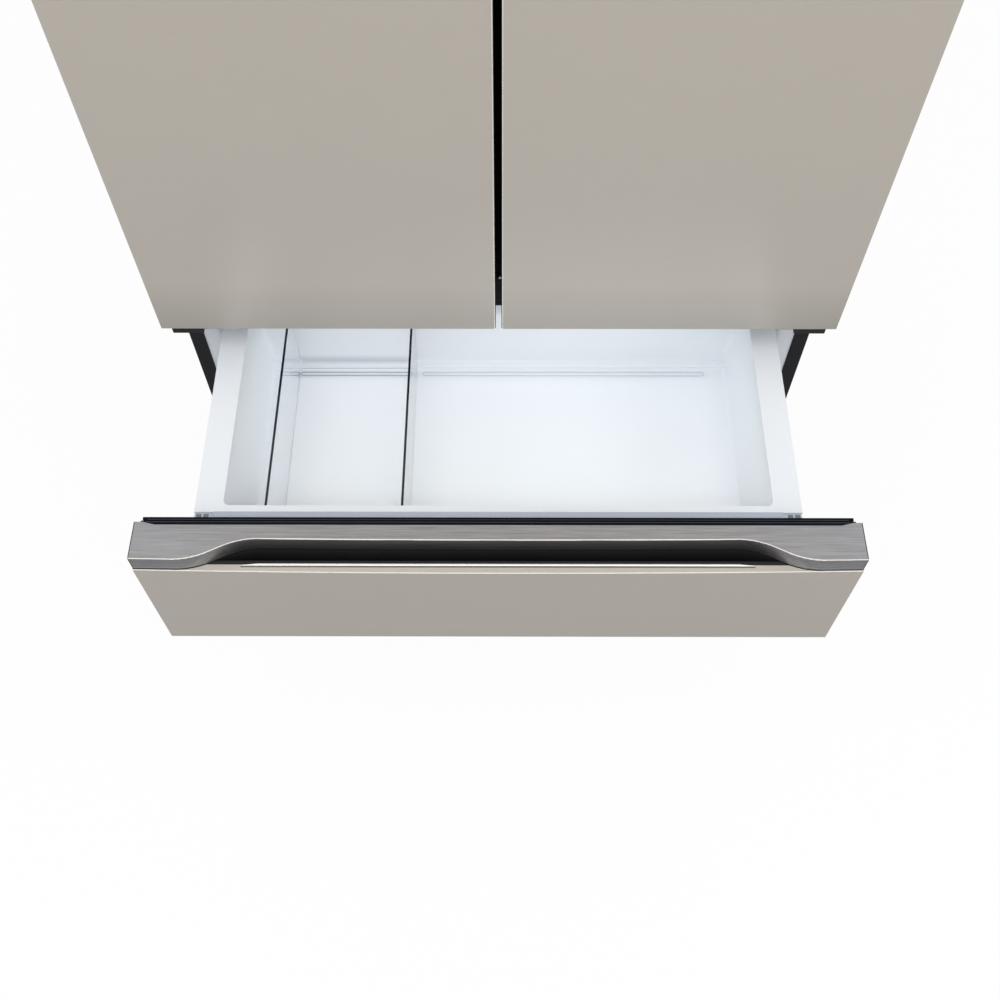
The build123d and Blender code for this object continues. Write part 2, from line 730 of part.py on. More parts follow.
def door_liner():
    """Vacuum-formed inner skin with the raised dyke that frames the bins."""
    plate = slab(
        door_free + LINER, front_half - LINER, FRONT_THICKNESS - LINER, FRONT_THICKNESS,
        door_base + LINER, door_top - LINER,
    )
    x0, x1 = door_free + DYKE_FREE, front_half - DYKE_SIDE
    z0, z1 = door_base + DYKE_LOW, door_top - DYKE_TOP
    outer = slab(x0, x1, FRONT_THICKNESS, FRONT_THICKNESS + DYKE_DEPTH, z0, z1)
    outer = fillet(outer.edges().filter_by(Axis.Y), DYKE_RADIUS)
    inner = slab(
        x0 + DYKE_WIDTH, x1 - DYKE_WIDTH, FRONT_THICKNESS, FRONT_THICKNESS + DYKE_DEPTH + PAST,
        z0 + DYKE_WIDTH, z1 - DYKE_WIDTH,
    )
    inner = fillet(inner.edges().filter_by(Axis.Y), DYKE_RADIUS - DYKE_WIDTH)
    return plate + (outer - inner)


def door_bin(height):
    """One door bin, hooked inside the dyke with its back on the liner."""
    z0 = door_base + height
    z1 = z0 + DOOR_BIN_TALL
    x0 = door_free + DOOR_BIN_FREE
    x1 = front_half - DYKE_SIDE - DYKE_WIDTH - BIN_SEAT
    y0, y1 = FRONT_THICKNESS, FRONT_THICKNESS + DOOR_BIN_REACH
    wall, draft = DOOR_BIN_WALL, DOOR_BIN_DRAFT
    outer = tapered_tub((x0, x1, y0, y1 - draft), (x0, x1, y0, y1), z0, z1, DOOR_BIN_RADIUS)
    inner = tapered_tub(
        (x0 + wall, x1 - wall, y0 + wall, y1 - wall - draft),
        (x0 + wall, x1 - wall, y0 + wall, y1 - wall),
        z0 + wall, z1 + HAIR, DOOR_BIN_RADIUS - wall,
    )
    return outer - inner


def door_seal():
    """The seal round the back of a door."""
    return seal(
        door_free + DOOR_SEAL_FREE, case_half - DOOR_SEAL_SIDE,
        door_base + DOOR_SEAL_BASE, door_top - DOOR_SEAL_TOP,
    )


# Cabinet


def outer_case():
    """Folded steel wrapper: two sides, the top and the flange that the seals meet."""
    shell = slab(-case_half, case_half, flange_front, case_back, CASE_FOOT, case_top)
    top_corners = shell.edges().filter_by(Axis.Y).group_by(Axis.Z)[-1]
    shell = fillet(top_corners, CASE_EDGE_RADIUS)
    shell -= slab(
        -case_half + SHEET, case_half - SHEET, flange_front + SHEET, case_back + PAST,
        CASE_FOOT - PAST, case_top - SHEET,
    )
    return shell - slab(
        -opening_half, opening_half, flange_front - PAST, flange_front + 2 * SHEET,
        CASE_FOOT - PAST, fresh_high,
    )


def cross_rail(z0, z1):
    """One steel cross rail, folded as a channel that opens to the rear."""
    rail = slab(-opening_half, opening_half, flange_front, flange_front + RAIL_DEPTH, z0, z1)
    return rail - slab(
        -opening_half - PAST, opening_half + PAST, flange_front + SHEET,
        flange_front + RAIL_DEPTH + PAST, z0 + SHEET, z1 - SHEET,
    )


def cross_rails():
    """The rails under the doors, between the drawers and under the freezer drawer."""
    return [
        cross_rail(middle_high, fresh_low),
        cross_rail(freezer_high, middle_low),
        cross_rail(pan_top, freezer_low),
    ]


def centre_post():
    """Upright post that the free edges of both doors seal against."""
    post = slab(
        -POST_HALF, POST_HALF, flange_front, flange_front + POST_DEPTH, fresh_low + LINER, fresh_high - LINER
    )
    return fillet(post.edges().filter_by(Axis.Z).group_by(Axis.Y)[-1], CASE_EDGE_RADIUS)


def fresh_liner():
    """Fresh-food liner: an open tub with rounded rear corners."""
    outer = slab(-opening_half - LINER, opening_half + LINER, liner_front, fresh_depth + LINER,
                 fresh_low, fresh_high)
    outer = fillet(outer.edges().filter_by(Axis.Z).group_by(Axis.Y)[-1], DYKE_RADIUS + LINER)
    inner = slab(-opening_half, opening_half, liner_front - PAST, fresh_depth,
                 fresh_low + LINER, fresh_high - LINER)
    inner = fillet(inner.edges().filter_by(Axis.Z).group_by(Axis.Y)[-1], DYKE_RADIUS)
    return outer - inner


def stepped_section(half_top, half_low, z0, z1, ledge):
    """A section that is wide above a ledge and narrower below it."""
    outline = Polyline(
        (-half_low, z0), (half_low, z0), (half_low, ledge), (half_top, ledge),
        (half_top, z1), (-half_top, z1), (-half_top, ledge), (-half_low, ledge),
        close=True,
    )
    return Plane.XZ * make_face(outline)


def stepped_tub(grow, y0, y1, z0, z1, ledge):
    """The space of a drawer compartment, grown by a wall's thickness."""
    section = stepped_section(
        opening_half + grow, ledge_half + grow, z0 - grow, z1 + grow, ledge - grow
    )
    return Pos(0, y0, 0) * extrude(section, -(y1 - y0))


def ledge_front(low, ledge):
    """Rounded front of the right-hand ledge, which closes off the foam beside the opening."""
    y1 = liner_front + LEDGE_RADIUS + LINER
    face = slab(ledge_half, opening_half + LINER, liner_front, y1, low, ledge)
    face = fillet(face.edges().filter_by(Axis.Z).group_by(Axis.X)[0].group_by(Axis.Y)[0], LEDGE_RADIUS)
    behind = slab(
        ledge_half + LINER, opening_half + LINER + PAST, liner_front + LINER, y1 + PAST, low - PAST,
        ledge - LINER,
    )
    corner = behind.edges().filter_by(Axis.Z).group_by(Axis.X)[0].group_by(Axis.Y)[0]
    return face - fillet(corner, LEDGE_RADIUS - LINER)


def drawer_liner(low, high, rim, depth):
    """Liner of a drawer compartment, with a round-nosed ledge on each side for the slides."""
    ledge = rim - LEDGE_DROP
    inside = (low + LINER, high - LINER, ledge)
    liner = stepped_tub(LINER, liner_front, depth + LINER, *inside)
    liner -= stepped_tub(0, liner_front - PAST, depth, *inside)
    square = slab(
        ledge_half - PAST, opening_half + LINER + PAST, liner_front - PAST,
        liner_front + LEDGE_RADIUS + LINER, low + LINER, ledge,
    )
    front = ledge_front(low + LINER, ledge)
    return liner - square - to_left(square) + front + to_left(front)


def evaporator_space(grow):
    """The space behind the freezer compartment that holds the evaporator."""
    half = ledge_half
    return slab(
        -half - grow, half + grow, freezer_depth, evaporator_depth + grow,
        evaporator_floor - grow, freezer_high - LINER + grow,
    )


def freezer_liner():
    """Freezer liner, stepped back above the machine compartment for the evaporator."""
    tub = drawer_liner(freezer_low, freezer_high, freezer_rim, freezer_depth)
    return tub + evaporator_space(LINER) - (
        evaporator_space(0) + slab(
            -ledge_half, ledge_half, freezer_depth - PAST, freezer_depth + LINER + PAST,
            evaporator_floor, freezer_high - LINER,
        )
    )


def insulation():
    """Foam between the case and the liners."""
    gap = LINER + FOAM_GAP
    foam = slab(
        -case_half + SHEET, case_half - SHEET, foam_front, case_back - FOAM_GAP, pan_top + FOAM_GAP,
        case_top - SHEET,
    )
    foam -= slab(-opening_half - gap, opening_half + gap, 0, fresh_depth + gap,
                 fresh_low - FOAM_GAP, fresh_high + FOAM_GAP)
    for low, high, rim, depth in (
        (middle_low, middle_high, middle_rim, middle_depth),
        (freezer_low, freezer_high, freezer_rim, freezer_depth),
    ):
        foam -= stepped_tub(gap, 0, depth + gap, low + LINER, high - LINER, rim - LEDGE_DROP)
    foam -= evaporator_space(gap)
    return foam - slab(
        -case_half, case_half, machine_front - FOAM_GAP, case_back + PAST, pan_top - PAST,
        machine_top + FOAM_GAP,
    )


def back_panel():
    """Rear sheet above the machine compartment, with pressed stiffening ribs."""
    half = case_half - PANEL_FIT
    panel = slab(-half, half, case_back, case_back + BACK_SHEET, machine_top, case_top - PANEL_FIT)
    rib_half = BACK_RIB_WIDTH / 2
    pitch = 2 * half / 3
    for x in (-pitch, 0, pitch):
        panel += slab(
            x - rib_half, x + rib_half, case_back + BACK_SHEET, case_back + BACK_SHEET + BACK_RIB_DEPTH,
            machine_top + BACK_RIB_END, case_top - BACK_RIB_END,
        )
    return panel


def machine_shell():
    """Steel wall and roof that close the machine compartment off from the foam."""
    half = case_half - SHEET
    box = slab(-half, half, machine_front, case_back, pan_top, machine_top)
    return box - slab(
        -half - PAST, half + PAST, machine_front + MACHINE_SHELL, case_back + PAST,
        pan_top - PAST, machine_top - MACHINE_SHELL,
    )


def machine_cover():
    """Removable rear cover of the machine compartment, with louvre slots."""
    half = case_half - PANEL_FIT
    y0, y1 = case_back, case_back + BACK_SHEET
    z0, z1 = CASE_FOOT, machine_top - PANEL_FIT
    cover = slab(-half, half, y0, y1, z0, z1)
    column = (2 * case_half - LOUVRE_GAP) / LOUVRE_COLUMNS
    for i in range(LOUVRE_COLUMNS):
        x0 = -half + LOUVRE_GAP + column * i
        for j in range(LOUVRE_ROWS):
            z = pan_top + LOUVRE_GAP * (j + 2)
            cover -= slab(
                x0 + LOUVRE_GAP, x0 + column - LOUVRE_GAP, y0 - PAST, y1 + PAST, z, z + LOUVRE_HEIGHT
            )
    gland_plate = slab(
        gland_x - LOUVRE_GAP, gland_x + LOUVRE_GAP, y0, y1, GLAND_Z - LOUVRE_GAP, GLAND_Z + LOUVRE_GAP
    )
    return cover + gland_plate - inward(GLAND_RADIUS + PANEL_FIT, gland_x, y0 - PAST, y1 + PAST, GLAND_Z)


def power_inlet():
    """Bushing in the rear cover that a supply cord would pass through."""
    y0, y1 = case_back + BACK_SHEET, case_back + BACK_SHEET + BACK_RIB_DEPTH
    bush = inward(GLAND_RADIUS, gland_x, y1 - GLAND_LENGTH, y0, GLAND_Z)
    flange = slab(
        gland_x - GLAND_FLANGE, gland_x + GLAND_FLANGE, y0, y1, GLAND_Z - GLAND_FLANGE,
        GLAND_Z + GLAND_FLANGE,
    )
    return bush + flange - inward(GLAND_HOLE_RADIUS, gland_x, y1 - GLAND_LENGTH - PAST, y1 + PAST, GLAND_Z)


def door_hinges():
    """Top and lower hinge brackets with their pins, two of each."""
    x0, x1 = front_half - HINGE_INNER, front_half - HINGE_OUTER
    low_top = door_base - HINGE_LIFT
    low = slab(x0, x1, HINGE_NOSE, flange_front, low_top - HINGE_PLATE, low_top)
    low = fillet(low.edges().filter_by(Axis.Z).group_by(Axis.Y)[0], WASHER_RADIUS)
    low += slab(x0, x1, flange_front - BIN_WALL, flange_front, low_top - HINGE_LEG, low_top)
    low += upright(PIN_RADIUS, pivot_x, PIVOT_DEPTH, low_top - PAST, door_base + PIN_LENGTH)
    low += upright(WASHER_RADIUS, pivot_x, PIVOT_DEPTH, low_top - PAST, door_base - WASHER_GAP)
    high_low = door_top + PAST
    high = slab(x0, x1, HINGE_NOSE, TOP_HINGE_REACH, high_low, high_low + HINGE_PLATE)
    high = fillet(high.edges().filter_by(Axis.Z).group_by(Axis.Y)[0], WASHER_RADIUS)
    high += slab(x0, x1, flange_front + TOP_HINGE_SEAT, TOP_HINGE_REACH, case_top, high_low + PAST)
    high += upright(PIN_RADIUS, pivot_x, PIVOT_DEPTH, door_top - PIN_LENGTH, high_low + PAST)
    return pair(low) + pair(high)


def hinge_covers():
    """Plastic caps over the top hinges."""
    x0, x1 = front_half - HINGE_INNER - 3 * COVER_WALL, front_half - PAST
    wall, low = COVER_WALL, door_top + PAST / 2
    y1 = TOP_HINGE_REACH + 2 * COVER_WALL
    high = case_top + PAST + COVER_HEIGHT + 2 * PAST
    cap = slab(x0, x1, PAST, y1, low, high)
    cap = fillet(cap.edges().group_by(Axis.Z)[-1], BIN_FLOOR_RADIUS)
    cap += slab(x0, case_half, flange_front + PANEL_FIT, y1, case_top, low + wall)
    cap -= slab(x0 + wall, x1 - wall, PAST + wall, y1 - wall, low - PAST, high - wall)
    cap -= slab(x0 + wall, case_half - wall, flange_front + PANEL_FIT + wall, y1 - wall,
                case_top - PAST, low + wall)
    return pair(cap)


# Fresh-food fittings


shelf_rear = fresh_depth - SHELF_REAR_GAP


def half_shelf(height):
    """Glass plate of a half-width shelf with its raised front and rear rims, on the right."""
    z0 = fresh_low + height
    x0, x1 = SHELF_MIDDLE_GAP, opening_half - SHELF_SIDE_GAP
    plate = slab(x0, x1, SHELF_FRONT, shelf_rear, z0, z0 + SHELF_GLASS)
    front = slab(x0, x1, SHELF_FRONT - SHELF_RIM, SHELF_FRONT, z0 - SHELF_GLASS, z0 + SHELF_RIM)
    rear = slab(x0, x1, shelf_rear, shelf_rear + SHELF_RIM / 2, z0 - SHELF_GLASS, z0 + SHELF_RIM)
    return plate + front + rear


def shelves():
    """Six half-width glass shelves and the full-width glass cover over the crispers."""
    pieces = []
    for height in SHELF_HEIGHTS:
        pieces += pair(half_shelf(height))
    z0 = fresh_low + CRISPER_COVER
    half = opening_half - SHELF_SIDE_GAP / 4
    pieces.append(slab(-half, half, SHELF_FRONT, shelf_rear, z0, z0 + SHELF_GLASS))
    return pieces


def shelf_arm(x, height):
    """Cantilever arm under one edge of a shelf, hooked on a rear track."""
    top = fresh_low + height
    track_front = fresh_depth - TRACK_DEPTH
    outline = Polyline(
        (track_front, top - ARM_DEPTH), (track_front, top - SHELF_GLASS), (shelf_rear, top - SHELF_GLASS),
        (shelf_rear, top), (SHELF_FRONT, top), (SHELF_FRONT, top - ARM_NOSE), close=True,
    )
    return Pos(x, 0, 0) * extrude(Plane.YZ * make_face(outline), ARM_THICKNESS / 2, both=True)


def shelf_supports():
    """Rear tracks with the shelf arms, and the side strips under the crisper cover."""
    side_x = opening_half - DYKE_RADIUS - TRACK_WIDTH
    centre_x = SHELF_MIDDLE_GAP + ARM_THICKNESS * 2
    z0, z1 = fresh_low + TRACK_LOW, fresh_high - TRACK_TOP
    track_y = fresh_depth - TRACK_DEPTH
    side = slab(side_x, side_x + TRACK_WIDTH, track_y, fresh_depth, z0, z1)
    centre = slab(-TRACK_WIDTH, TRACK_WIDTH, track_y, fresh_depth, z0, z1)
    side_arm_x = side_x + TRACK_WIDTH / 2
    for height in SHELF_HEIGHTS:
        side += shelf_arm(side_arm_x, height)
        centre += shelf_arm(centre_x, height) + shelf_arm(-centre_x, height)
    cover_z = fresh_low + CRISPER_COVER
    strip = slab(opening_half - SHELF_SIDE_GAP, opening_half, SHELF_FRONT, shelf_rear, cover_z - SHELF_RIM,
                 cover_z)
    return pair(side) + [centre] + pair(strip)


def crisper():
    """Crisper drawer on the right: a drafted tub with a pull lip along its front."""
    z0 = fresh_low + LINER + BIN_SEAT
    z1 = z0 + CRISPER_HEIGHT
    x0, x1 = CRISPER_GAP, opening_half - CRISPER_SIDE_GAP
    y0, y1 = SHELF_FRONT, fresh_depth - CRISPER_REAR_GAP
    wall, draft = CRISPER_WALL, CRISPER_DRAFT
    outer = tapered_tub(
        (x0 + draft, x1 - draft, y0 + draft, y1 - draft), (x0, x1, y0, y1), z0, z1, CRISPER_RADIUS
    )
    inner = tapered_tub(
        (x0 + draft + wall, x1 - draft - wall, y0 + draft + wall, y1 - draft - wall),
        (x0 + wall, x1 - wall, y0 + wall, y1 - wall),
        z0 + wall, z1 + HAIR, CRISPER_RADIUS - wall,
    )
    lip = slab(x0 + CRISPER_RADIUS, x1 - CRISPER_RADIUS, y0 - CRISPER_LIP, y0 + wall, z1 - wall, z1)
    return outer - inner + lip


def fresh_duct():
    """Air duct on the rear wall with a ladder of outlet slots."""
    z0, z1 = fresh_low + DUCT_LOW, fresh_high - DUCT_HIGH
    half = DUCT_HALF
    middle_half = TRACK_WIDTH + PANEL_FIT
    duct = slab(middle_half, half, fresh_depth - DUCT_DEPTH, fresh_depth, z0, z1)
    duct = fillet(duct.edges().filter_by(Axis.Z).group_by(Axis.Y)[0], BIN_FLOOR_RADIUS)
    pitch = (z1 - z0) / DUCT_SLOTS
    for i in range(DUCT_SLOTS):
        z = z0 + pitch * (i + 1 / 2)
        duct -= slab(
            middle_half + TRACK_WIDTH, middle_half + TRACK_WIDTH + DUCT_SLOT_WIDTH,
            fresh_depth - DUCT_DEPTH - PAST, fresh_depth - DUCT_DEPTH / 2, z, z + DUCT_SLOT_HEIGHT,
        )
    return pair(duct)


# Cooling machinery


def fan_rotor(radius):
    """Hub, shaft and tilted blades, with the shaft pointing to +Y."""
    hub = inward(FAN_HUB_RADIUS, 0, 0, FAN_DEPTH, 0)
    rotor = hub + inward(FAN_SHAFT_RADIUS, 0, FAN_DEPTH, FAN_DEPTH + FAN_SHAFT_LENGTH, 0)
    root, tip = FAN_HUB_RADIUS - FAN_BLADE_THICK, radius - FAN_TIP_GAP
    outline = Polyline(
        (root, -FAN_BLADE_ROOT / 2), (tip, -FAN_BLADE_TIP / 2), (tip, FAN_BLADE_TIP / 2),
        (root, FAN_BLADE_ROOT / 2), close=True,
    )
    blade = extrude(make_face(outline), FAN_BLADE_THICK / 2, both=True)
    blade = Pos(0, FAN_DEPTH / 2, 0) * Rot(FAN_BLADE_TILT, 0, 0) * blade
    for i in range(FAN_BLADES):
        rotor += Rot(0, 360 / FAN_BLADES * i, 0) * blade
    return rotor


def fan_motor(radius, reach):
    """Motor can behind a fan, with a bored nose for the shaft and arms to a plate's rear face."""
    y0 = FAN_DEPTH + PAST
    y1 = y0 + FAN_MOTOR_LENGTH
    can = inward(FAN_MOTOR_RADIUS, 0, y0, y1, 0)
    arm_y = y1 - FAN_PLATE
    arm_half = FAN_PLATE * 2
    arms = slab(-reach, reach, arm_y, y1, -arm_half, arm_half)
    for side in (-1, 1):
        inner, outer = sorted((side * (reach - FAN_PLATE), side * reach))
        arms += slab(inner, outer, 0, y1, -arm_half, arm_half)
    return can + arms - inward(
        FAN_SHAFT_RADIUS + PIN_CLEARANCE, 0, y0 - PAST, FAN_DEPTH + FAN_SHAFT_LENGTH + PAST, 0
    )


evaporator_fan_z = freezer_high - LINER - EVAPORATOR_FAN_RADIUS - FAN_TIP_GAP * 2
evaporator_fan_y = freezer_depth + COVER_INSET + COVER_PLATE
condenser_fan_y = machine_front + MACHINE_DEPTH / 2
compressor_x = COMPRESSOR_INSET - case_half
condenser_fan_x = compressor_x + CONDENSER_FAN_SHIFT
drain_pan_x = compressor_x + DRAIN_PAN_SHIFT
condenser_fan_z = pan_top + MACHINE_HEIGHT / 2
fan_turn = Rot(0, 0, -90)


def evaporator_fan():
    """Fan that drives the cold air through the duct cover."""
    return Pos(0, evaporator_fan_y, evaporator_fan_z) * fan_rotor(EVAPORATOR_FAN_RADIUS)


def condenser_fan():
    """Fan that draws air over the condenser, with its shaft along +X."""
    place = Pos(condenser_fan_x, condenser_fan_y, condenser_fan_z)
    return place * fan_turn * fan_rotor(CONDENSER_FAN_RADIUS)


def freezer_duct():
    """Cover over the evaporator, with a fan hole, outlet slots and the fan's motor."""
    y0 = freezer_depth + COVER_INSET
    y1 = y0 + COVER_PLATE
    half = ledge_half - PANEL_FIT
    plate = slab(-half, half, y0, y1, evaporator_floor, freezer_high - LINER - PANEL_FIT)
    hole = EVAPORATOR_FAN_RADIUS + FAN_TIP_GAP - PAST
    plate -= inward(hole, 0, y0 - PAST, y1 + PAST, evaporator_fan_z)
    for x in (-half * 2 / 3, -half / 3, half / 3, half * 2 / 3):
        plate -= slab(
            x - DUCT_SLOT_WIDTH / 2, x + DUCT_SLOT_WIDTH / 2, y0 - PAST, y1 + PAST,
            evaporator_fan_z, evaporator_fan_z + DUCT_SLOT_HEIGHT,
        )
    motor = fan_motor(EVAPORATOR_FAN_RADIUS, EVAPORATOR_FAN_RADIUS + FAN_TIP_GAP * 3)
    return plate + Pos(0, evaporator_fan_y, evaporator_fan_z) * motor


def coil(width, thick, height, fins):
    """Fins on flat tubes that run along X from the origin, between two headers."""
    pitch = height / COIL_TUBES
    block = slab(-COIL_FIN / 2, COIL_FIN / 2, 0, thick, 0, height)
    for i in range(1, fins):
        x = width * i / (fins - 1)
        block += slab(x - COIL_FIN / 2, x + COIL_FIN / 2, 0, thick, 0, height)
    for i in range(COIL_TUBES):
        z = pitch * i + pitch / 2
        block += slab(
            -COIL_HEADER, width + COIL_HEADER, COIL_EDGE, thick - COIL_EDGE,
            z - COIL_TUBE / 2, z + COIL_TUBE / 2,
        )
    for x in (-2 * COIL_HEADER, width + COIL_HEADER):
        block += slab(x, x + COIL_HEADER, COIL_EDGE, thick - COIL_EDGE, COIL_EDGE, height - COIL_EDGE)
    return block


def evaporator():
    """Finned evaporator that stands on the floor of its space."""
    y0 = (evaporator_fan_y + evaporator_depth - EVAPORATOR_THICK) / 2
    half = ledge_half - EVAPORATOR_SIDE
    place = Pos(-half, y0, evaporator_floor)
    return place * coil(2 * half, EVAPORATOR_THICK, EVAPORATOR_HEIGHT, EVAPORATOR_FINS)


def condenser():
    """Finned condenser beside its fan, and the shroud plate that carries the fan's motor."""
    x0 = condenser_fan_x + FAN_DEPTH + FAN_MOTOR_LENGTH + 3 * FAN_HUB_RADIUS
    y0 = condenser_fan_y - CONDENSER_THICK / 2
    width = case_half - CONDENSER_SIDE - x0
    block = coil(width, CONDENSER_THICK, CONDENSER_HEIGHT, CONDENSER_FINS)
    block = Pos(x0, y0, pan_top) * block
    plate_x = condenser_fan_x - FAN_PLATE
    reach = CONDENSER_FAN_RADIUS + FAN_TIP_GAP * 2
    shroud = slab(
        plate_x, plate_x + FAN_PLATE, condenser_fan_y - reach - FAN_PLATE,
        condenser_fan_y + reach + FAN_PLATE, pan_top, condenser_fan_z + reach,
    )
    hole = CONDENSER_FAN_RADIUS + FAN_TIP_GAP
    shroud -= across(hole, plate_x - PAST, plate_x + FAN_PLATE + PAST, condenser_fan_y, condenser_fan_z)
    motor = fan_motor(CONDENSER_FAN_RADIUS, reach)
    shroud += Pos(condenser_fan_x, condenser_fan_y, condenser_fan_z) * fan_turn * motor
    return [block, shroud]


def compressor():
    """Hermetic compressor shell on its foot plate and rubber feet."""
    y, base = condenser_fan_y, pan_top
    plate_z = base + COMPRESSOR_FOOT
    plate_half = COMPRESSOR_RADIUS + COMPRESSOR_FOOT
    foot_inset = COMPRESSOR_FOOT * 3
    plate = slab(
        compressor_x - plate_half, compressor_x + plate_half, y - plate_half, y + plate_half,
        plate_z, plate_z + PAN_SHEET,
    )
    can = upright(COMPRESSOR_RADIUS, compressor_x, y, plate_z, plate_z + COMPRESSOR_HEIGHT)
    can = chamfer(can.edges().group_by(Axis.Z)[-1], COMPRESSOR_DOME)
    body = plate + can
    for sx in (-1, 1):
        for sy in (-1, 1):
            x_foot = compressor_x + sx * (plate_half - foot_inset)
            y_foot = y + sy * (plate_half - foot_inset)
            pad = Pos(x_foot, y_foot, base + COMPRESSOR_FOOT / 2)
            body += pad * Box(COMPRESSOR_FOOT * 4, COMPRESSOR_FOOT * 4, COMPRESSOR_FOOT)
    terminal_x = compressor_x - COMPRESSOR_RADIUS
    box = slab(terminal_x - COMPRESSOR_FOOT * 4, terminal_x + COMPRESSOR_FOOT * 4, y - COMPRESSOR_FOOT * 6,
               y + COMPRESSOR_FOOT * 6, plate_z + COMPRESSOR_HEIGHT / 3, plate_z + COMPRESSOR_HEIGHT * 2 / 3)
    return body + box


def drain_pan():
    """Open pan beside the compressor that the defrost water drains into."""
    x0, x1 = drain_pan_x - DRAIN_PAN_WIDTH / 2, drain_pan_x + DRAIN_PAN_WIDTH / 2
    y0 = condenser_fan_y - DRAIN_PAN_LENGTH / 2
    y1 = y0 + DRAIN_PAN_LENGTH
    wall = DRAIN_PAN_WALL
    pan = slab(x0, x1, y0, y1, pan_top, pan_top + DRAIN_PAN_HEIGHT)
    return pan - slab(
        x0 + wall, x1 - wall, y0 + wall, y1 - wall, pan_top + wall, pan_top + DRAIN_PAN_HEIGHT + PAST
    )


# Base


rear_roller_y = case_back - REAR_ROLLER_BACK
front_roller_y = flange_front + FRONT_ROLLER_SETBACK
channel_x = case_half - CHANNEL_INSET
channel_start = flange_front + CHANNEL_SETBACK
leg_x = case_half - LEG_INSET
leg_y = flange_front + LEG_SETBACK
grille_front = flange_front + GRILLE_SETBACK
grille_half = case_half - GRILLE_END


def base_pan():
    """Bottom plate with the roller channels and their axles, and the bosses for the legs."""
    half = case_half - SHEET
    grille_back = grille_front + GRILLE_THICK
    plate = slab(-half, half, grille_back, case_back, pan_top - PAN_SHEET, pan_top)
    lip = slab(-half, half, grille_back, grille_back + PAN_SHEET, pan_top - BOSS_DROP, pan_top)
    pan = plate + lip
    under = pan_top - PAN_SHEET
    outside = CHANNEL_INSIDE / 2 + CHANNEL_SHEET
    inside = CHANNEL_INSIDE / 2
    for side in (-1, 1):
        x = side * channel_x
        for wall in (x - outside, x + inside):
            pan += slab(
                wall, wall + CHANNEL_SHEET, channel_start, case_back, under - CHANNEL_DROP, under
            )
        for y in (front_roller_y, rear_roller_y):
            pan += across(AXLE_RADIUS, x - outside, x + outside, y, REAR_ROLLER_RADIUS)
        boss = upright(BOSS_RADIUS, side * leg_x, leg_y, under - BOSS_DROP, under)
        bore = upright(LEG_STUD_RADIUS + LEG_CLEARANCE, side * leg_x, leg_y, under - BOSS_DROP - PAST,
                       LEG_STUD_TOP + PAST)
        pan = pan + boss - bore
    return pan


def rollers(radius, y):
    """A pair of rollers on one axle line."""
    inside = AXLE_RADIUS + AXLE_CLEARANCE
    width = ROLLER_WIDTH / 2
    wheel = across(radius, channel_x - width, channel_x + width, y, REAR_ROLLER_RADIUS)
    wheel -= across(inside, channel_x - ROLLER_WIDTH, channel_x + ROLLER_WIDTH, y, REAR_ROLLER_RADIUS)
    return pair(wheel)


def leg(side):
    """Levelling leg: foot pad, hexagon and threaded stud."""
    x = side * leg_x
    nut_top = LEG_PAD_HEIGHT + LEG_NUT_HEIGHT
    pad = upright(LEG_PAD_RADIUS, x, leg_y, 0, LEG_PAD_HEIGHT)
    nut = Pos(x, leg_y, LEG_PAD_HEIGHT) * extrude(
        RegularPolygon(LEG_NUT_ACROSS / 2, 6, major_radius=False), LEG_NUT_HEIGHT
    )
    return pad + nut + upright(LEG_STUD_RADIUS, x, leg_y, nut_top, LEG_STUD_TOP)


def toe_grille():
    """Toe grille with rows of air slots."""
    y0, y1 = grille_front, grille_front + GRILLE_THICK
    z1 = TOE_HEIGHT - 2 * PAST
    grille = slab(-grille_half, grille_half, y0, y1, GRILLE_LOW, z1)
    grille = fillet(grille.edges().group_by(Axis.Y)[0], 2 * PAST)
    width = (2 * grille_half - GRILLE_SLOT_GAP) / GRILLE_SLOTS
    row = (z1 - GRILLE_LOW) / (GRILLE_SLOT_ROWS + 1)
    for i in range(GRILLE_SLOTS):
        x0 = -grille_half + GRILLE_SLOT_GAP + width * i
        for j in range(GRILLE_SLOT_ROWS):
            z = GRILLE_LOW + row * (j + 1)
            grille -= slab(
                x0, x0 + width - GRILLE_SLOT_GAP, y0 - PAST, y1 + PAST,
                z - GRILLE_SLOT_HEIGHT / 2, z + GRILLE_SLOT_HEIGHT / 2,
            )
    return grille


# All nodes


def drawer(name, base, top, low, rim, depth, pull):
    """The nodes of one drawer, pulled out by a distance."""
    pieces = {
        "panel": drawer_panel(base, top - LIP_HEIGHT),
        "rail": handle_rail(top),
        "front_body": drawer_body(base, top),
        "front_liner": drawer_front_liner(base, top, low, rim),
        "gasket": drawer_seal(base, top),
        "bin": drawer_bin(rim, depth),
        "runners": pair(runner(rim)),
    }
    moved = {f"{name}_{piece}": shifted(shape, -pull) for piece, shape in pieces.items()}
    moved[f"{name}_slides"] = shifted(pair(middle_member(rim)), -pull * SLIDE_HALF_TRAVEL)
    return moved


def shifted(shape, y):
    """A piece, or a list of pieces, moved along Y."""
    if isinstance(shape, list):
        return [Pos(0, y, 0) * piece for piece in shape]
    return Pos(0, y, 0) * shape


def right_door():
    """The nodes of the right-hand door."""
    return {
        "door_panel": door_panel(),
        "door_body": door_body(),
        "door_liner": door_liner(),
        "door_gasket": door_seal(),
        "door_bins": [door_bin(height) for height in DOOR_BIN_HEIGHTS],
    }


def left_twin(shape):
    """The left-hand twin of a piece or of a list of pieces."""
    if isinstance(shape, list):
        return [to_left(piece) for piece in shape]
    return to_left(shape)


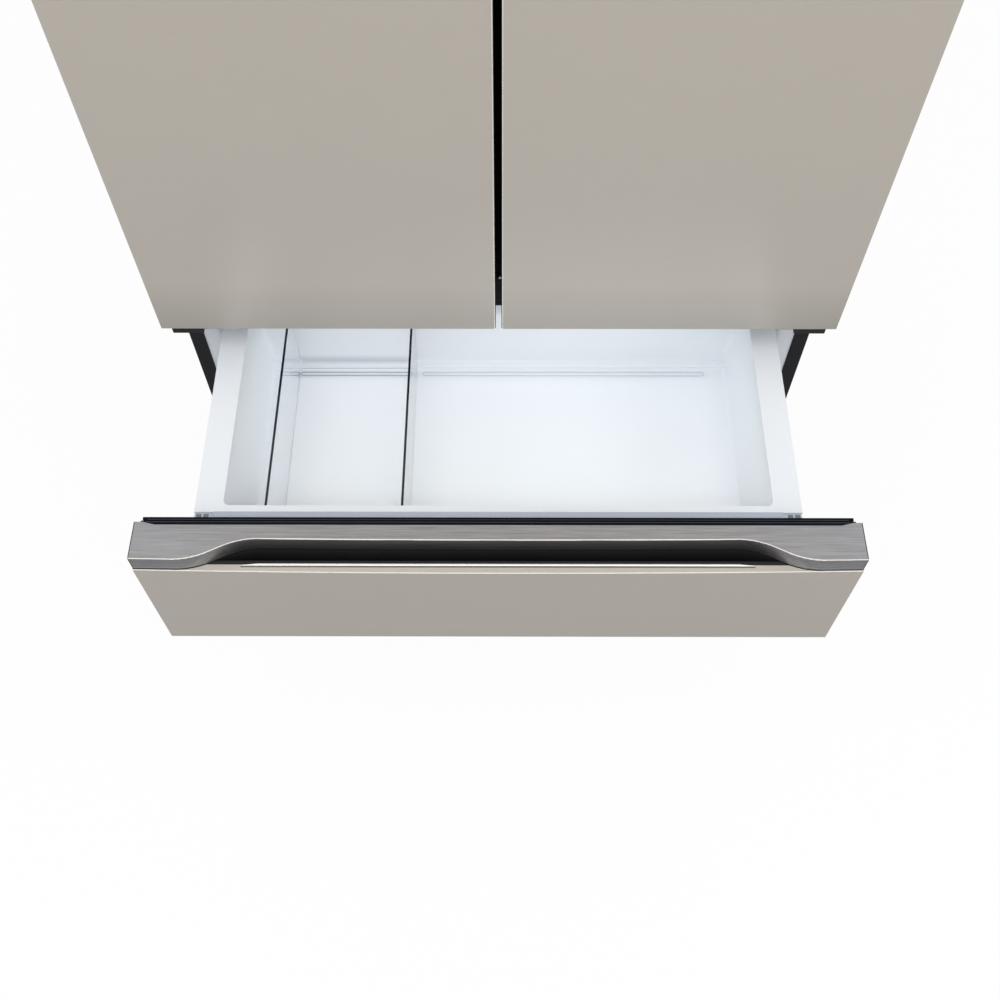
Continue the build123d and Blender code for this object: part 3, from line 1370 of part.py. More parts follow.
def all_nodes():
    """Every node of the refrigerator by name."""
    nodes = {
        "outer_case": outer_case(),
        "cross_rails": cross_rails(),
        "centre_post": centre_post(),
        "fresh_liner": fresh_liner(),
        "middle_liner": drawer_liner(middle_low, middle_high, middle_rim, middle_depth),
        "freezer_liner": freezer_liner(),
        "insulation": insulation(),
        "back_panel": back_panel(),
        "machine_cover": machine_cover(),
        "power_inlet": power_inlet(),
        "door_hinges": door_hinges(),
        "hinge_covers": hinge_covers(),
        "shelves": shelves(),
        "shelf_supports": shelf_supports(),
        "fresh_duct": fresh_duct(),
        "freezer_duct": freezer_duct(),
        "evaporator": evaporator(),
        "condenser": condenser(),
        "compressor": compressor(),
        "drain_pan": drain_pan(),
        "drawer_tracks": pair(fixed_track(middle_rim)) + pair(fixed_track(freezer_rim)),
        "base_pan": [base_pan(), machine_shell()],
        "toe_grille": toe_grille(),
        "evaporator_fan": evaporator_fan(),
        "condenser_fan": condenser_fan(),
        "front_rollers": rollers(FRONT_ROLLER_RADIUS, front_roller_y),
        "rear_rollers": rollers(REAR_ROLLER_RADIUS, rear_roller_y),
        "left_leg": leg(-1),
        "right_leg": leg(1),
        "right_crisper": crisper(),
        "left_crisper": to_left(crisper()),
        "left_divider": shifted(divider(left_divider_x), -MIDDLE_PULL),
        "right_divider": shifted(divider(right_divider_x), -MIDDLE_PULL),
        "freezer_tray": freezer_tray(),
    }
    for name, shape in right_door().items():
        nodes[f"right_{name}"] = shape
        nodes[f"left_{name}"] = left_twin(shape)
    nodes.update(
        drawer("middle", middle_base, middle_top, middle_low, middle_rim, MIDDLE_BIN_DEPTH, MIDDLE_PULL)
    )
    nodes.update(
        drawer("freezer", freezer_base, freezer_top, freezer_low, freezer_rim, FREEZER_BIN_DEPTH, 0)
    )
    return nodes


def save(name, shape):
    """Write one node, moved so that the origin lies under the middle of the whole part."""
    pieces = shape if isinstance(shape, list) else [shape]
    solids = [solid for piece in pieces for solid in piece.solids()]
    whole = solids[0] if len(solids) == 1 else Compound(solids)
    export_step(Pos(0, front_y, 0) * whole, f"parts/{name}.step")


os.makedirs("parts", exist_ok=True)
for node_name, node_shape in all_nodes().items():
    save(node_name, node_shape)
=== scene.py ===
import json
from math import cos, pi, radians, sin, tan

import bmesh
import bpy
from mathutils import Matrix, Vector


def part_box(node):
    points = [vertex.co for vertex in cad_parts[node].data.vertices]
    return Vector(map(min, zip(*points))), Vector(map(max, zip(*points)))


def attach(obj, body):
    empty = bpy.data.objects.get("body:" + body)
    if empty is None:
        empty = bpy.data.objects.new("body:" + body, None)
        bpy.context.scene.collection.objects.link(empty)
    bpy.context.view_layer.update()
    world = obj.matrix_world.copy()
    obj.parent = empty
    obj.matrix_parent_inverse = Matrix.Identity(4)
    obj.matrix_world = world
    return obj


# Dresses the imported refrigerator: camera, light, materials and the small fittings.
# Lengths are in metres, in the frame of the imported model.

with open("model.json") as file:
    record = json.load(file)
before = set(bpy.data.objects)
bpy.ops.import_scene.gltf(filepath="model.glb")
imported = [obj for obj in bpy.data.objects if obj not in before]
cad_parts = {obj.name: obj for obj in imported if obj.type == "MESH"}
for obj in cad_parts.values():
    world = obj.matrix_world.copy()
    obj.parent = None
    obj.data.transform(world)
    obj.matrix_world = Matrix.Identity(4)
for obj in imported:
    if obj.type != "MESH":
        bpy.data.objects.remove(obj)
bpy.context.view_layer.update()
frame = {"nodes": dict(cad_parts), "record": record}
nodes = frame["nodes"]
bpy.context.scene.view_settings.view_transform = "Standard"


# Camera, fitted to the photograph

EYE = Vector((0.00675, -1.18927, 2.01311))
PITCH = radians(59.483)
YAW = radians(-0.3243)
ROLL = radians(-0.1901)
LENS = 41.92


def make_camera():
    """Looks steeply down at the open drawer from in front of the doors."""
    forward = Vector((sin(YAW) * cos(PITCH), cos(YAW) * cos(PITCH), -sin(PITCH)))
    level = Vector((cos(YAW), -sin(YAW), 0))
    up = level.cross(forward)
    across = level * cos(ROLL) + up * sin(ROLL)
    upright = up * cos(ROLL) - level * sin(ROLL)
    data = bpy.data.cameras.new("camera")
    data.lens = LENS
    camera = bpy.data.objects.new("camera", data)
    turn = Matrix((across, upright, -forward)).transposed().to_4x4()
    camera.matrix_world = Matrix.Translation(EYE) @ turn
    bpy.context.scene.collection.objects.link(camera)
    bpy.context.scene.camera = camera


make_camera()


# Colours and material graphs

GLOSS_FINER = 6
CLEAR_TINT = (0.97, 0.98, 0.99, 1.0)


def srgb(red, green, blue):
    """A colour given as it looks on a screen, for a shader."""

    def linear(value):
        share = value / 255
        return share / 12.92 if share <= 0.04045 else ((share + 0.055) / 1.055) ** 2.4

    return (linear(red), linear(green), linear(blue), 1.0)


def scaled(colour, factor):
    """A colour made lighter or darker."""
    return tuple(min(1.0, c * factor) for c in colour[:3]) + (1.0,)


class Graph:
    """A material's node tree, built by short calls."""

    def __init__(self, name):
        self.material = bpy.data.materials.new(name)
        self.material.use_nodes = True
        self.tree = self.material.node_tree
        self.shader = self.tree.nodes["Principled BSDF"]
        self.place = self.add("ShaderNodeTexCoord").outputs["Object"]

    def add(self, kind, **sockets):
        node = self.tree.nodes.new(kind)
        for name, value in sockets.items():
            self.put(node.inputs[name.replace("_", " ")], value)
        return node

    def put(self, socket, value):
        if isinstance(value, bpy.types.NodeSocket):
            self.tree.links.new(value, socket)
        else:
            socket.default_value = value

    def noise(self, scale, detail=3.0, rough=0.5):
        """Noise whose scale may differ along X, Y and Z, as waves to the metre."""
        scales = (scale, scale, scale) if isinstance(scale, (int, float)) else scale
        place = self.add("ShaderNodeMapping", Vector=self.place, Scale=scales)
        texture = self.add(
            "ShaderNodeTexNoise", Vector=place.outputs[0], Scale=1.0, Detail=detail, Roughness=rough
        )
        return texture.outputs["Fac"]

    def spread(self, value, low, high, start=0.3, end=0.7):
        """The middle of a noise, or a stretch of a length, spread from low to high."""
        node = self.add("ShaderNodeMapRange", Value=value)
        ends = (("From Min", start), ("From Max", end), ("To Min", low), ("To Max", high))
        for name, number in ends:
            node.inputs[name].default_value = number
        return node.outputs["Result"]

    def along(self, axis):
        """The place along X, Y or Z."""
        return self.add("ShaderNodeSeparateXYZ", Vector=self.place).outputs[axis]

    def blend(self, share, first, second):
        node = self.tree.nodes.new("ShaderNodeMix")
        node.data_type = "RGBA"
        self.put(node.inputs[0], share)
        self.put(node.inputs[6], first)
        self.put(node.inputs[7], second)
        return node.outputs[2]

    def reckon(self, first, kind, second=0.0):
        """Two numbers put together by one of the kinds of the Math node."""
        node = self.tree.nodes.new("ShaderNodeMath")
        node.operation = kind
        self.put(node.inputs[0], first)
        self.put(node.inputs[1], second)
        return node.outputs[0]

    def bump(self, height, depth, normal=None):
        node = self.add("ShaderNodeBump", Height=height, Distance=depth)
        if normal is not None:
            self.put(node.inputs["Normal"], normal)
        return node.outputs["Normal"]

    def repaint(self, share, colour):
        """Turns the colour that the shader has now towards another, such as near an edge."""
        socket = self.shader.inputs["Base Color"]
        self.put(socket, self.blend(share, socket.links[0].from_socket, colour))


def finish(
    name, colour, rough, metal=0.0, tone=0.04, tone_scale=7.0, streak=None, grain=None,
    swing=0.05, **constants
):
    """A material with cloudy tone, optional streaks, uneven gloss and a fine relief."""
    graph = Graph(name)
    cloud = graph.noise(tone_scale, detail=4.0)
    shade = graph.spread(cloud, 0.0, 1.0)
    paint = graph.blend(shade, scaled(colour, 1 - tone), scaled(colour, 1 + tone))
    uneven = graph.noise(tone_scale * GLOSS_FINER, detail=2.0)
    gloss = graph.spread(uneven, rough - swing, rough + swing)
    normal = None
    if streak:
        lines = graph.noise(streak["scale"], detail=3.0, rough=0.6)
        paint = graph.blend(graph.spread(lines, 0.0, 1.0), scaled(colour, 1 - streak["tone"]), paint)
        gloss = graph.reckon(gloss, "ADD", graph.spread(lines, -swing, swing))
        normal = graph.bump(lines, streak["depth"])
    if grain:
        normal = graph.bump(graph.noise(grain["scale"], detail=2.0), grain["depth"], normal)
    graph.put(graph.shader.inputs["Base Color"], paint)
    graph.put(graph.shader.inputs["Roughness"], gloss)
    if normal is not None:
        graph.put(graph.shader.inputs["Normal"], normal)
    graph.shader.inputs["Metallic"].default_value = metal
    for socket, value in constants.items():
        graph.shader.inputs[socket.replace("_", " ")].default_value = value
    return graph


def let_light_through(graph):
    """Lamps reach what is behind a clear piece."""
    tree = graph.tree
    path = graph.add("ShaderNodeLightPath")
    open_shader = graph.add("ShaderNodeBsdfTransparent", Color=CLEAR_TINT)
    mix = graph.add("ShaderNodeMixShader", Fac=path.outputs["Is Shadow Ray"])
    tree.links.new(graph.shader.outputs[0], mix.inputs[1])
    tree.links.new(open_shader.outputs[0], mix.inputs[2])
    tree.links.new(mix.outputs[0], tree.nodes["Material Output"].inputs["Surface"])
    return graph


def brushed_steel(name):
    """Steel brushed from end to end."""
    return finish(
        name, srgb(169, 168, 170), 0.36, metal=0.7, tone=0.02, tone_scale=2.0, swing=0.03,
        streak={"scale": (16.0, 480.0, 480.0), "tone": 0.3, "depth": 0.000003},
    )


def moulded_white(name):
    """White plastic of the bins and the liners."""
    return finish(
        name, srgb(244, 248, 252), 0.36, tone=0.006, tone_scale=4.0,
        grain={"scale": 240.0, "depth": 0.000004}, swing=0.02, IOR=1.5,
    )


looks = {
    "front_paint": finish(
        "front_paint", srgb(201, 193, 182), 0.36, metal=0.16, tone=0.012, tone_scale=3.0,
        streak={"scale": (14.0, 14.0, 320.0), "tone": 0.01, "depth": 0.000001}, swing=0.015,
        Coat_Weight=0.2, Coat_Roughness=0.22,
    ),
    "case_paint": finish(
        "case_paint", srgb(30, 31, 34), 0.5, tone=0.03, tone_scale=18.0,
        grain={"scale": 450.0, "depth": 0.00004}, swing=0.025, Specular_IOR_Level=0.25,
    ),
    "handle_steel": brushed_steel("handle_steel"),
    "galvanised": finish(
        "galvanised", srgb(172, 175, 178), 0.42, metal=0.85, tone=0.12, tone_scale=40.0,
        grain={"scale": 500.0, "depth": 0.00001}, swing=0.1,
    ),
    "black_plastic": finish(
        "black_plastic", srgb(44, 44, 43), 0.55, tone=0.08,
        grain={"scale": 1700.0, "depth": 0.00004}, swing=0.06, Specular_IOR_Level=0.15,
    ),
    "grey_plastic": finish(
        "grey_plastic", srgb(92, 94, 97), 0.45, tone=0.04,
        grain={"scale": 1500.0, "depth": 0.00003}, swing=0.05,
    ),
    "white_plastic": moulded_white("white_plastic"),
    "clear_plastic": let_light_through(
        finish(
            "clear_plastic", srgb(252, 253, 254), 0.03, tone=0.004,
            grain={"scale": 60.0, "depth": 0.000004}, swing=0.01, Transmission_Weight=1.0, IOR=1.49,
        )
    ),
    "seal_rubber": finish(
        "seal_rubber", srgb(12, 13, 18), 0.42, tone=0.08,
        streak={"scale": (500.0, 500.0, 500.0), "tone": 0.1, "depth": 0.00002}, swing=0.08,
        Specular_Tint=(0.55, 0.65, 1.0, 1.0), Specular_IOR_Level=0.12,
    ),
    "shelf_glass": let_light_through(
        finish(
            "shelf_glass", srgb(226, 243, 238), 0.04, tone=0.01,
            grain={"scale": 30.0, "depth": 0.000006}, swing=0.02, Transmission_Weight=0.96, IOR=1.52,
        )
    ),
    "coil_aluminium": finish(
        "coil_aluminium", srgb(190, 192, 195), 0.35, metal=0.9, tone=0.05,
        streak={"scale": (900.0, 30.0, 30.0), "tone": 0.15, "depth": 0.00005}, swing=0.08,
    ),
    "compressor_paint": finish(
        "compressor_paint", srgb(30, 31, 33), 0.3, tone=0.08,
        grain={"scale": 350.0, "depth": 0.00004}, swing=0.07,
    ),
    "foam": finish(
        "foam", srgb(222, 205, 160), 0.85, tone=0.08,
        grain={"scale": 600.0, "depth": 0.0003}, swing=0.05,
    ),
    "roller_nylon": finish(
        "roller_nylon", srgb(150, 149, 145), 0.5, tone=0.05,
        grain={"scale": 700.0, "depth": 0.00004}, swing=0.06,
    ),
    "screw_steel": finish(
        "screw_steel", srgb(150, 150, 152), 0.28, metal=0.95, tone=0.08, tone_scale=300.0,
        grain={"scale": 2500.0, "depth": 0.00001}, swing=0.08,
    ),
    "smoked_edge": finish(
        "smoked_edge", srgb(28, 32, 40), 0.2, tone=0.15, tone_scale=20.0,
        grain={"scale": 800.0, "depth": 0.000005}, swing=0.06, IOR=1.49,
    ),
    # Near-white that paints highlights: on the rail's edge, the pocket trim, the panel's bead, the doors' gap
    # edges and the post screws
    "painted_highlight": finish(
        "painted_highlight", srgb(246, 242, 234), 0.3, metal=0.2, tone=0.02,
        streak={"scale": (60.0, 900.0, 900.0), "tone": 0.03, "depth": 0.000002}, swing=0.04,
    ),
    "pale_line": finish(
        "pale_line", srgb(208, 214, 222), 0.4, tone=0.02, tone_scale=6.0,
        grain={"scale": 300.0, "depth": 0.000004}, swing=0.03,
    ),
    "post_black": finish(
        "post_black", srgb(12, 12, 13), 0.6, tone=0.08,
        grain={"scale": 700.0, "depth": 0.00003}, swing=0.05, Specular_IOR_Level=0.1,
    ),
    "seam_grey": finish(
        "seam_grey", srgb(118, 114, 111), 0.5, tone=0.03, tone_scale=12.0,
        grain={"scale": 700.0, "depth": 0.00001}, swing=0.04,
    ),
    # Blue-grey that paints the highlights along the gaskets' rubber edges
    "gasket_highlight_blue": finish(
        "gasket_highlight_blue", srgb(58, 64, 74), 0.45, tone=0.05, tone_scale=20.0,
        grain={"scale": 900.0, "depth": 0.00001}, swing=0.04,
    ),
    "pad_grey": finish(
        "pad_grey", srgb(124, 129, 132), 0.45, tone=0.03, tone_scale=30.0,
        grain={"scale": 600.0, "depth": 0.00001}, swing=0.05,
    ),
    "line_grey": finish(
        "line_grey", srgb(150, 157, 168), 0.4, tone=0.02, tone_scale=6.0,
        grain={"scale": 300.0, "depth": 0.000004}, swing=0.03,
    ),
    # Grey-blue that paints the shade on the drawer front's inner skin
    "shaded_plastic": finish(
        "shaded_plastic", srgb(190, 197, 210), 0.4, tone=0.03, tone_scale=6.0,
        grain={"scale": 900.0, "depth": 0.00001}, swing=0.05,
    ),
}


# Looks that change from place to place on a piece, most of them painted shade or a painted reflection

# Grey of the painted reflection at the doors' lower ends
DOOR_REFLECTION_GREY = srgb(120, 121, 124)
DOOR_SHADE = 0.34
DOOR_SHADE_HIGH = 0.09
DOOR_SHADE_BELOW = 0.01
FOLD_GREY = srgb(40, 40, 42)
FOLD_WIDTH = 0.0013
# Painted shade where the rail's steel turns down into the pocket
POCKET_SHADE_GREY = srgb(66, 64, 63)
POCKET_START = 0.004
POCKET_DARK = 0.026
POCKET_TOP = 0.002
POCKET_SKIN = 0.0008
POCKET_SHARES = (0.93, 0.5)
# Painted shade at the foot of the middle bin's rear wall
CREASE_SHADE_GREY = srgb(150, 158, 172)
CREASE_SHARE = 0.38
CREASE_LOW = 0.0045
CREASE_HIGH = 0.016
CREASE_FRONT = -0.105
CREASE_REAR = -0.0975


def paint_door_foot_reflection():
    """Painted reflection and shade: the doors turn a little darker and greyer towards their lower ends."""
    paint = looks["front_paint"]
    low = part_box("left_door_panel")[0]
    height = paint.along("Z")
    near = paint.spread(height, DOOR_SHADE, 0.0, low.z, low.z + DOOR_SHADE_HIGH)
    on_door = paint.reckon(height, "GREATER_THAN", low.z - DOOR_SHADE_BELOW)
    paint.repaint(paint.reckon(near, "MULTIPLY", on_door), DOOR_REFLECTION_GREY)


def handle(name):
    """A rail's steel: dark at its folded ends, and painted shade where it turns down into the pocket."""
    steel = brushed_steel(name + "_handle")
    low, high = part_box(name + "_rail")
    reach = steel.reckon(steel.along("X"), "ABSOLUTE")
    steel.repaint(steel.reckon(reach, "GREATER_THAN", high.x - FOLD_WIDTH), FOLD_GREY)
    height = steel.along("Z")
    inward = steel.spread(steel.along("Y"), 0.0, 1.0, low.y + POCKET_START, low.y + POCKET_DARK)
    deeper = steel.spread(height, *POCKET_SHARES, low.z, high.z - POCKET_TOP)
    below = steel.reckon(height, "LESS_THAN", high.z - POCKET_SKIN)
    share = steel.reckon(steel.reckon(inward, "MULTIPLY", deeper), "MULTIPLY", below)
    steel.repaint(share, POCKET_SHADE_GREY)
    return steel


def white_with_painted_crease_shade():
    """The middle bin's plastic, with painted shade that makes it a little darker at the rear wall's foot
    between the dividers.
    """
    white = moulded_white("bin_white_painted_shade")
    left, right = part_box("left_divider"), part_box("right_divider")
    floor = left[0].z
    nearer = white.spread(white.along("Y"), 0.0, CREASE_SHARE, CREASE_FRONT, CREASE_REAR)
    lower = white.spread(white.along("Z"), 1.0, 0.0, floor + CREASE_LOW, floor + CREASE_HIGH)
    share = white.reckon(nearer, "MULTIPLY", lower)
    across = white.along("X")
    for kind, limit in (("GREATER_THAN", left[1].x), ("LESS_THAN", right[0].x)):
        share = white.reckon(share, "MULTIPLY", white.reckon(across, kind, limit))
    white.repaint(share, CREASE_SHADE_GREY)
    return white


def dress_nodes():
    """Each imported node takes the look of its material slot, and a few take one of their own."""
    slots = {entry["node"]: entry["material_slot"] for entry in frame["record"]["subparts"]}
    own = {
        "middle_rail": handle("middle"), "freezer_rail": handle("freezer"), "middle_bin": white_with_painted_crease_shade(),
        "cross_rails": looks["post_black"], "centre_post": looks["post_black"],
    }
    for name, node in nodes.items():
        look = own.get(name, looks[slots[name]])
        node.data.materials.clear()
        node.data.materials.append(look.material)


paint_door_foot_reflection()
dress_nodes()


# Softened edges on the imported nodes

JOIN_WITHIN = 0.00001
FLAT_WITHIN = radians(0.5)
SHARP_FROM = radians(35)
EDGE_WIDTHS = {
    0.0003: ("machine_cover", "back_panel"),
    0.0004: ("left_divider", "right_divider", "middle_runners", "freezer_runners"),
    0.0005: (
        "middle_front_body", "freezer_front_body", "left_door_body", "right_door_body", "toe_grille",
        "centre_post", "shelves", "left_leg", "right_leg",
    ),
    0.0006: (
        "middle_rail", "freezer_rail", "outer_case", "hinge_covers", "door_hinges", "middle_gasket",
        "freezer_gasket", "left_door_gasket", "right_door_gasket", "freezer_tray",
    ),
    0.0008: (
        "left_door_panel", "right_door_panel", "middle_bin", "freezer_bin", "middle_liner", "freezer_liner",
    ),
    0.0009: ("middle_panel", "freezer_panel"),
    0.001: ("compressor",),
    0.0012: ("front_rollers", "rear_rollers"),
    0.0015: ("middle_front_liner", "freezer_front_liner", "left_door_liner", "right_door_liner"),
}


def soften(node, width):
    """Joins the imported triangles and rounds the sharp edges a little, so that they catch light."""
    node.modifiers.new("join", "WELD").merge_threshold = JOIN_WITHIN
    flat = node.modifiers.new("flats", "DECIMATE")
    flat.decimate_type = "DISSOLVE"
    flat.angle_limit = FLAT_WITHIN
    edge = node.modifiers.new("edges", "BEVEL")
    edge.width = width
    edge.segments = 2
    edge.limit_method = "ANGLE"
    edge.angle_limit = SHARP_FROM
    edge.use_clamp_overlap = True
    node.modifiers.new("normals", "WEIGHTED_NORMAL").keep_sharp = True


for width, names in EDGE_WIDTHS.items():
    for name in names:
        soften(nodes[name], width)


# Small shapes

SMOOTH_WITHIN = radians(32)
SLIM_SHARE = 0.3
ARC_STEPS = 12
HEAD_SIDES = 32
HEAD_HEIGHT = 0.0007
# Small lengths for thin pieces, which sink into a face, stand proud of it or have slim edges
HAIR = 0.0001
FINE = 0.0002


def add_piece(name, shape, look, body, smooth=True):
    """A bmesh as a piece that rides on a body."""
    mesh = bpy.data.meshes.new(name)
    bmesh.ops.recalc_face_normals(shape, faces=shape.faces[:])
    shape.to_mesh(mesh)
    shape.free()
    mesh.materials.append(looks[look].material)
    if smooth:
        mesh.shade_smooth()
        mesh.set_sharp_from_angle(angle=SMOOTH_WITHIN)
    thing = bpy.data.objects.new(name, mesh)
    bpy.context.scene.collection.objects.link(thing)
    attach(thing, body)


def fill_bar(shape, low, high, edge):
    """A bar between two corners, with rounded edges, added to a bmesh."""
    size = Vector(high) - Vector(low)
    place = Matrix.Translation((Vector(low) + Vector(high)) / 2) @ Matrix.Diagonal(size).to_4x4()
    made = bmesh.ops.create_cube(shape, size=1.0, matrix=place)
    edges = {e for v in made["verts"] for e in v.link_edges}
    edge = min(edge, min(size) * SLIM_SHARE)
    bmesh.ops.bevel(shape, geom=list(edges), offset=edge, segments=2, profile=0.5, affect="EDGES")


def bars(name, boxes, look, body, edge):
    """One piece made of several rounded bars."""
    shape = bmesh.new()
    for low, high in boxes:
        fill_bar(shape, low, high, edge)
    add_piece(name, shape, look, body)


def on_side(side, inner, outer):
    """The lower and upper end of a span on one side of the middle, -1 or 1."""
    return sorted((side * inner, side * outer))


def join_rings(shape, rings):
    """Faces between rings of vertices that follow each other."""
    for one, two in zip(rings, rings[1:]):
        count = len(one)
        for i in range(count):
            shape.faces.new((one[i], one[(i + 1) % count], two[(i + 1) % count], two[i]))


def sweep(shape, path, profile):
    """Carries a closed profile, given as (outward, up) pairs, along a level path of points."""
    rings = []
    for i, point in enumerate(path):
        before, after = path[max(i - 1, 0)], path[min(i + 1, len(path) - 1)]
        ahead = (Vector(after) - Vector(before)).normalized()
        outward = Vector((ahead.y, -ahead.x, 0))
        rings.append([shape.verts.new(Vector(point) + outward * u + Vector((0, 0, v))) for u, v in profile])
    join_rings(shape, rings)
    shape.faces.new(rings[0])
    shape.faces.new(rings[-1])


def filleted(points, radii):
    """A level polyline with its corners turned to arcs."""
    path = [Vector(points[0])]
    for before, corner, after, radius in zip(points, points[1:], points[2:], radii):
        corner = Vector(corner)
        back, on = (Vector(before) - corner).normalized(), (Vector(after) - corner).normalized()
        half = back.angle(on) / 2
        reach = radius / tan(half)
        centre = corner + (back + on).normalized() * radius / sin(half)
        start, end = corner + back * reach - centre, corner + on * reach - centre
        for i in range(ARC_STEPS + 1):
            path.append(centre + start.slerp(end, i / ARC_STEPS).normalized() * radius)
    path.append(Vector(points[-1]))
    return path


def screws(name, places, facing, radius, look, body, height=HEAD_HEIGHT):
    """Low domed heads with a cross recess, at places on a face that looks along an axis."""
    shape = bmesh.new()
    turn = Vector(facing).to_track_quat("Z", "Y")
    dome = ((1.0, 0.0, False), (0.97, 0.45, False), (0.8, 0.85, False), (0.55, 1.0, False))
    recess = ((0.42, 1.0, True), (0.34, 0.35, True))
    for place in places:
        rings = []
        for share, rise, crossed in dome + recess:
            ring = []
            for i in range(HEAD_SIDES):
                angle = 2 * pi * i / HEAD_SIDES
                reach = share * radius * (0.62 + 0.38 * abs(cos(2 * angle)) ** 0.5 if crossed else 1.0)
                spot = Vector((reach * cos(angle), reach * sin(angle), rise * height))
                ring.append(shape.verts.new(Vector(place) + turn @ spot))
            rings.append(ring)
        join_rings(shape, rings)
        shape.faces.new(rings[-1])
    add_piece(name, shape, look, body)


# Drawer fronts: bright edge of the rail, trim over the pocket, folds and seams, with painted highlights and
# painted shade

BOW = 0.004
# The lip's height and the scoop's points are those that part.py cuts
LIP = 0.0262
SCOOP_ENDS = 0.0024
SCOOP_FLAT = 0.0012
SCOOP_DEEP = 0.0308
SCOOP_MIDDLE = 0.0281
SCOOP_OUTER = 0.38
SCOOP_INNER = 0.3207
SCOOP_ROUND = 0.1
SCOOP_SWEEP = 30.0
EDGE_WIDTH = 0.0011
EDGE_PROUD = 0.00005
SEAM_SHADOW_WIDTH = 0.0009
SEAM_SHADOW_DEPTH = 0.0004
SEAM_SHADOW_RISE = 0.0003
TRIM_TIP = 0.3215
TRIM_FULL = 0.3025
TRIM_FRONT = 0.0068
TRIM_REAR = 0.0097
TRIM_CROWN = 0.0005
TRIM_TAPER = 0.998
SEAM_FRONT = 0.0043
SHADE_FRONT = 0.0082
SHADE_REAR = 0.0136
SHADE_HALF = 0.374
BEAD = 0.0013
BEAD_END = 0.0004
BEAD_RISE = 0.0003
BEAD_FLAT = 0.0005
BEAD_STEPS = 48
LIP_END = 0.446
LIP_TAPER = 0.016
LIP_OVER = 0.0042
LIP_RISE = 0.0004
LIP_CREST = 0.999
RIDGE_INSET = 0.0046
RIDGE_LIP = 0.0006
RIDGE_END = 0.006
RIDGE_HALF = 0.0003
LINER_SHADE_HALF = 0.3655
LINER_SHADE_DEPTH = 0.0115
LINER_SHADE_REAR = 0.0009
CAP_RISE = 0.0003
PLATE_FRONT = 0.0105
PLATE_REAR = 0.0003
PAD_FRONT = 0.0068
PAD_REAR = 0.0016
PAD_SPANS = ((0.3725, 0.3795), (0.3818, 0.3888))
PAD_RISE = 0.0006


def rail_edge(name, front, top, body):
    """Painted highlight as a bright chamfer along the rail's scooped front edge, and a dark line along its
    foot that is partly the seam and partly painted shadow under the lip.
    """
    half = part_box(name + "_rail")[1].x
    points = [
        (-half, SCOOP_ENDS), (-SCOOP_OUTER, SCOOP_FLAT), (-SCOOP_INNER, SCOOP_DEEP), (0, SCOOP_MIDDLE),
        (SCOOP_INNER, SCOOP_DEEP), (SCOOP_OUTER, SCOOP_FLAT), (half, SCOOP_ENDS),
    ]
    radii = [SCOOP_ROUND, SCOOP_ROUND, SCOOP_SWEEP, SCOOP_ROUND, SCOOP_ROUND]
    path = filleted([(x, front + y, top) for x, y in points], radii)
    width = EDGE_WIDTH
    profile = [
        (-width, EDGE_PROUD), (-width * 0.35, EDGE_PROUD), (EDGE_PROUD, -width * 0.35),
        (EDGE_PROUD, -width), (-width * 0.4, -width * 0.8), (-width * 0.8, -width * 0.4),
    ]
    shape = bmesh.new()
    sweep(shape, path, profile)
    add_piece(name + "_rail_edge_highlight", shape, "painted_highlight", body)
    # The dark line along the rail's foot is partly the seam and partly painted shadow under the lip
    foot = [(p[0], p[1], top - LIP) for p in path]
    profile = [(-SEAM_SHADOW_DEPTH, 0.0), (-SEAM_SHADOW_DEPTH, SEAM_SHADOW_DEPTH), (SEAM_SHADOW_WIDTH, SEAM_SHADOW_RISE), (SEAM_SHADOW_WIDTH, 0.0)]
    shape = bmesh.new()
    sweep(shape, foot, profile)
    add_piece(name + "_rail_seam_shadow", shape, "post_black", body)


def pocket_trim(name, front, level, body):
    """Bright strip with pointed ends along the pocket's front; its near-white is a painted highlight."""
    outline = [
        (-TRIM_TIP, TRIM_FRONT), (TRIM_TIP, TRIM_FRONT), (TRIM_FULL, TRIM_REAR), (-TRIM_FULL, TRIM_REAR),
    ]
    shape = bmesh.new()
    foot = [shape.verts.new((x, front + y, level - FINE)) for x, y in outline]
    crest = []
    for x, y in outline:
        inset = TRIM_CROWN if y < TRIM_REAR else -TRIM_CROWN
        crest.append(shape.verts.new((x * TRIM_TAPER, front + y + inset, level + TRIM_CROWN)))
    rim = [shape.verts.new((x, front + y, level + TRIM_CROWN / 2)) for x, y in outline]
    join_rings(shape, [foot, rim, crest])
    shape.faces.new(crest)
    shape.faces.new(foot)
    add_piece(name + "_pocket_trim", shape, "painted_highlight", body)


def pocket_strip(name, half, near, far, level, look, body):
    """Thin strip across the pocket's front, from one depth to another."""
    bars(name, [((-half, near, level - FINE), (half, far, level + FINE))], look, body, HAIR)


def panel_highlight_bead(name, front, level, body):
    """Painted highlight: a bright bead along the panel's bowed upper edge."""
    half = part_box(name + "_panel")[1].x - BEAD_END
    path = []
    for i in range(BEAD_STEPS + 1):
        x = -half + 2 * half * i / BEAD_STEPS
        path.append((x, front - BOW * (1 - (x / half) ** 2), level))
    profile = [
        (-BEAD - BEAD_RISE, 0.0), (-BEAD, BEAD_RISE), (-BEAD_FLAT, BEAD_RISE), (-HAIR, 0.0),
        (-HAIR, -BEAD / 2), (-BEAD / 2, -BEAD / 2),
    ]
    shape = bmesh.new()
    sweep(shape, path, profile)
    add_piece(name + "_panel_highlight_bead", shape, "painted_highlight", body)


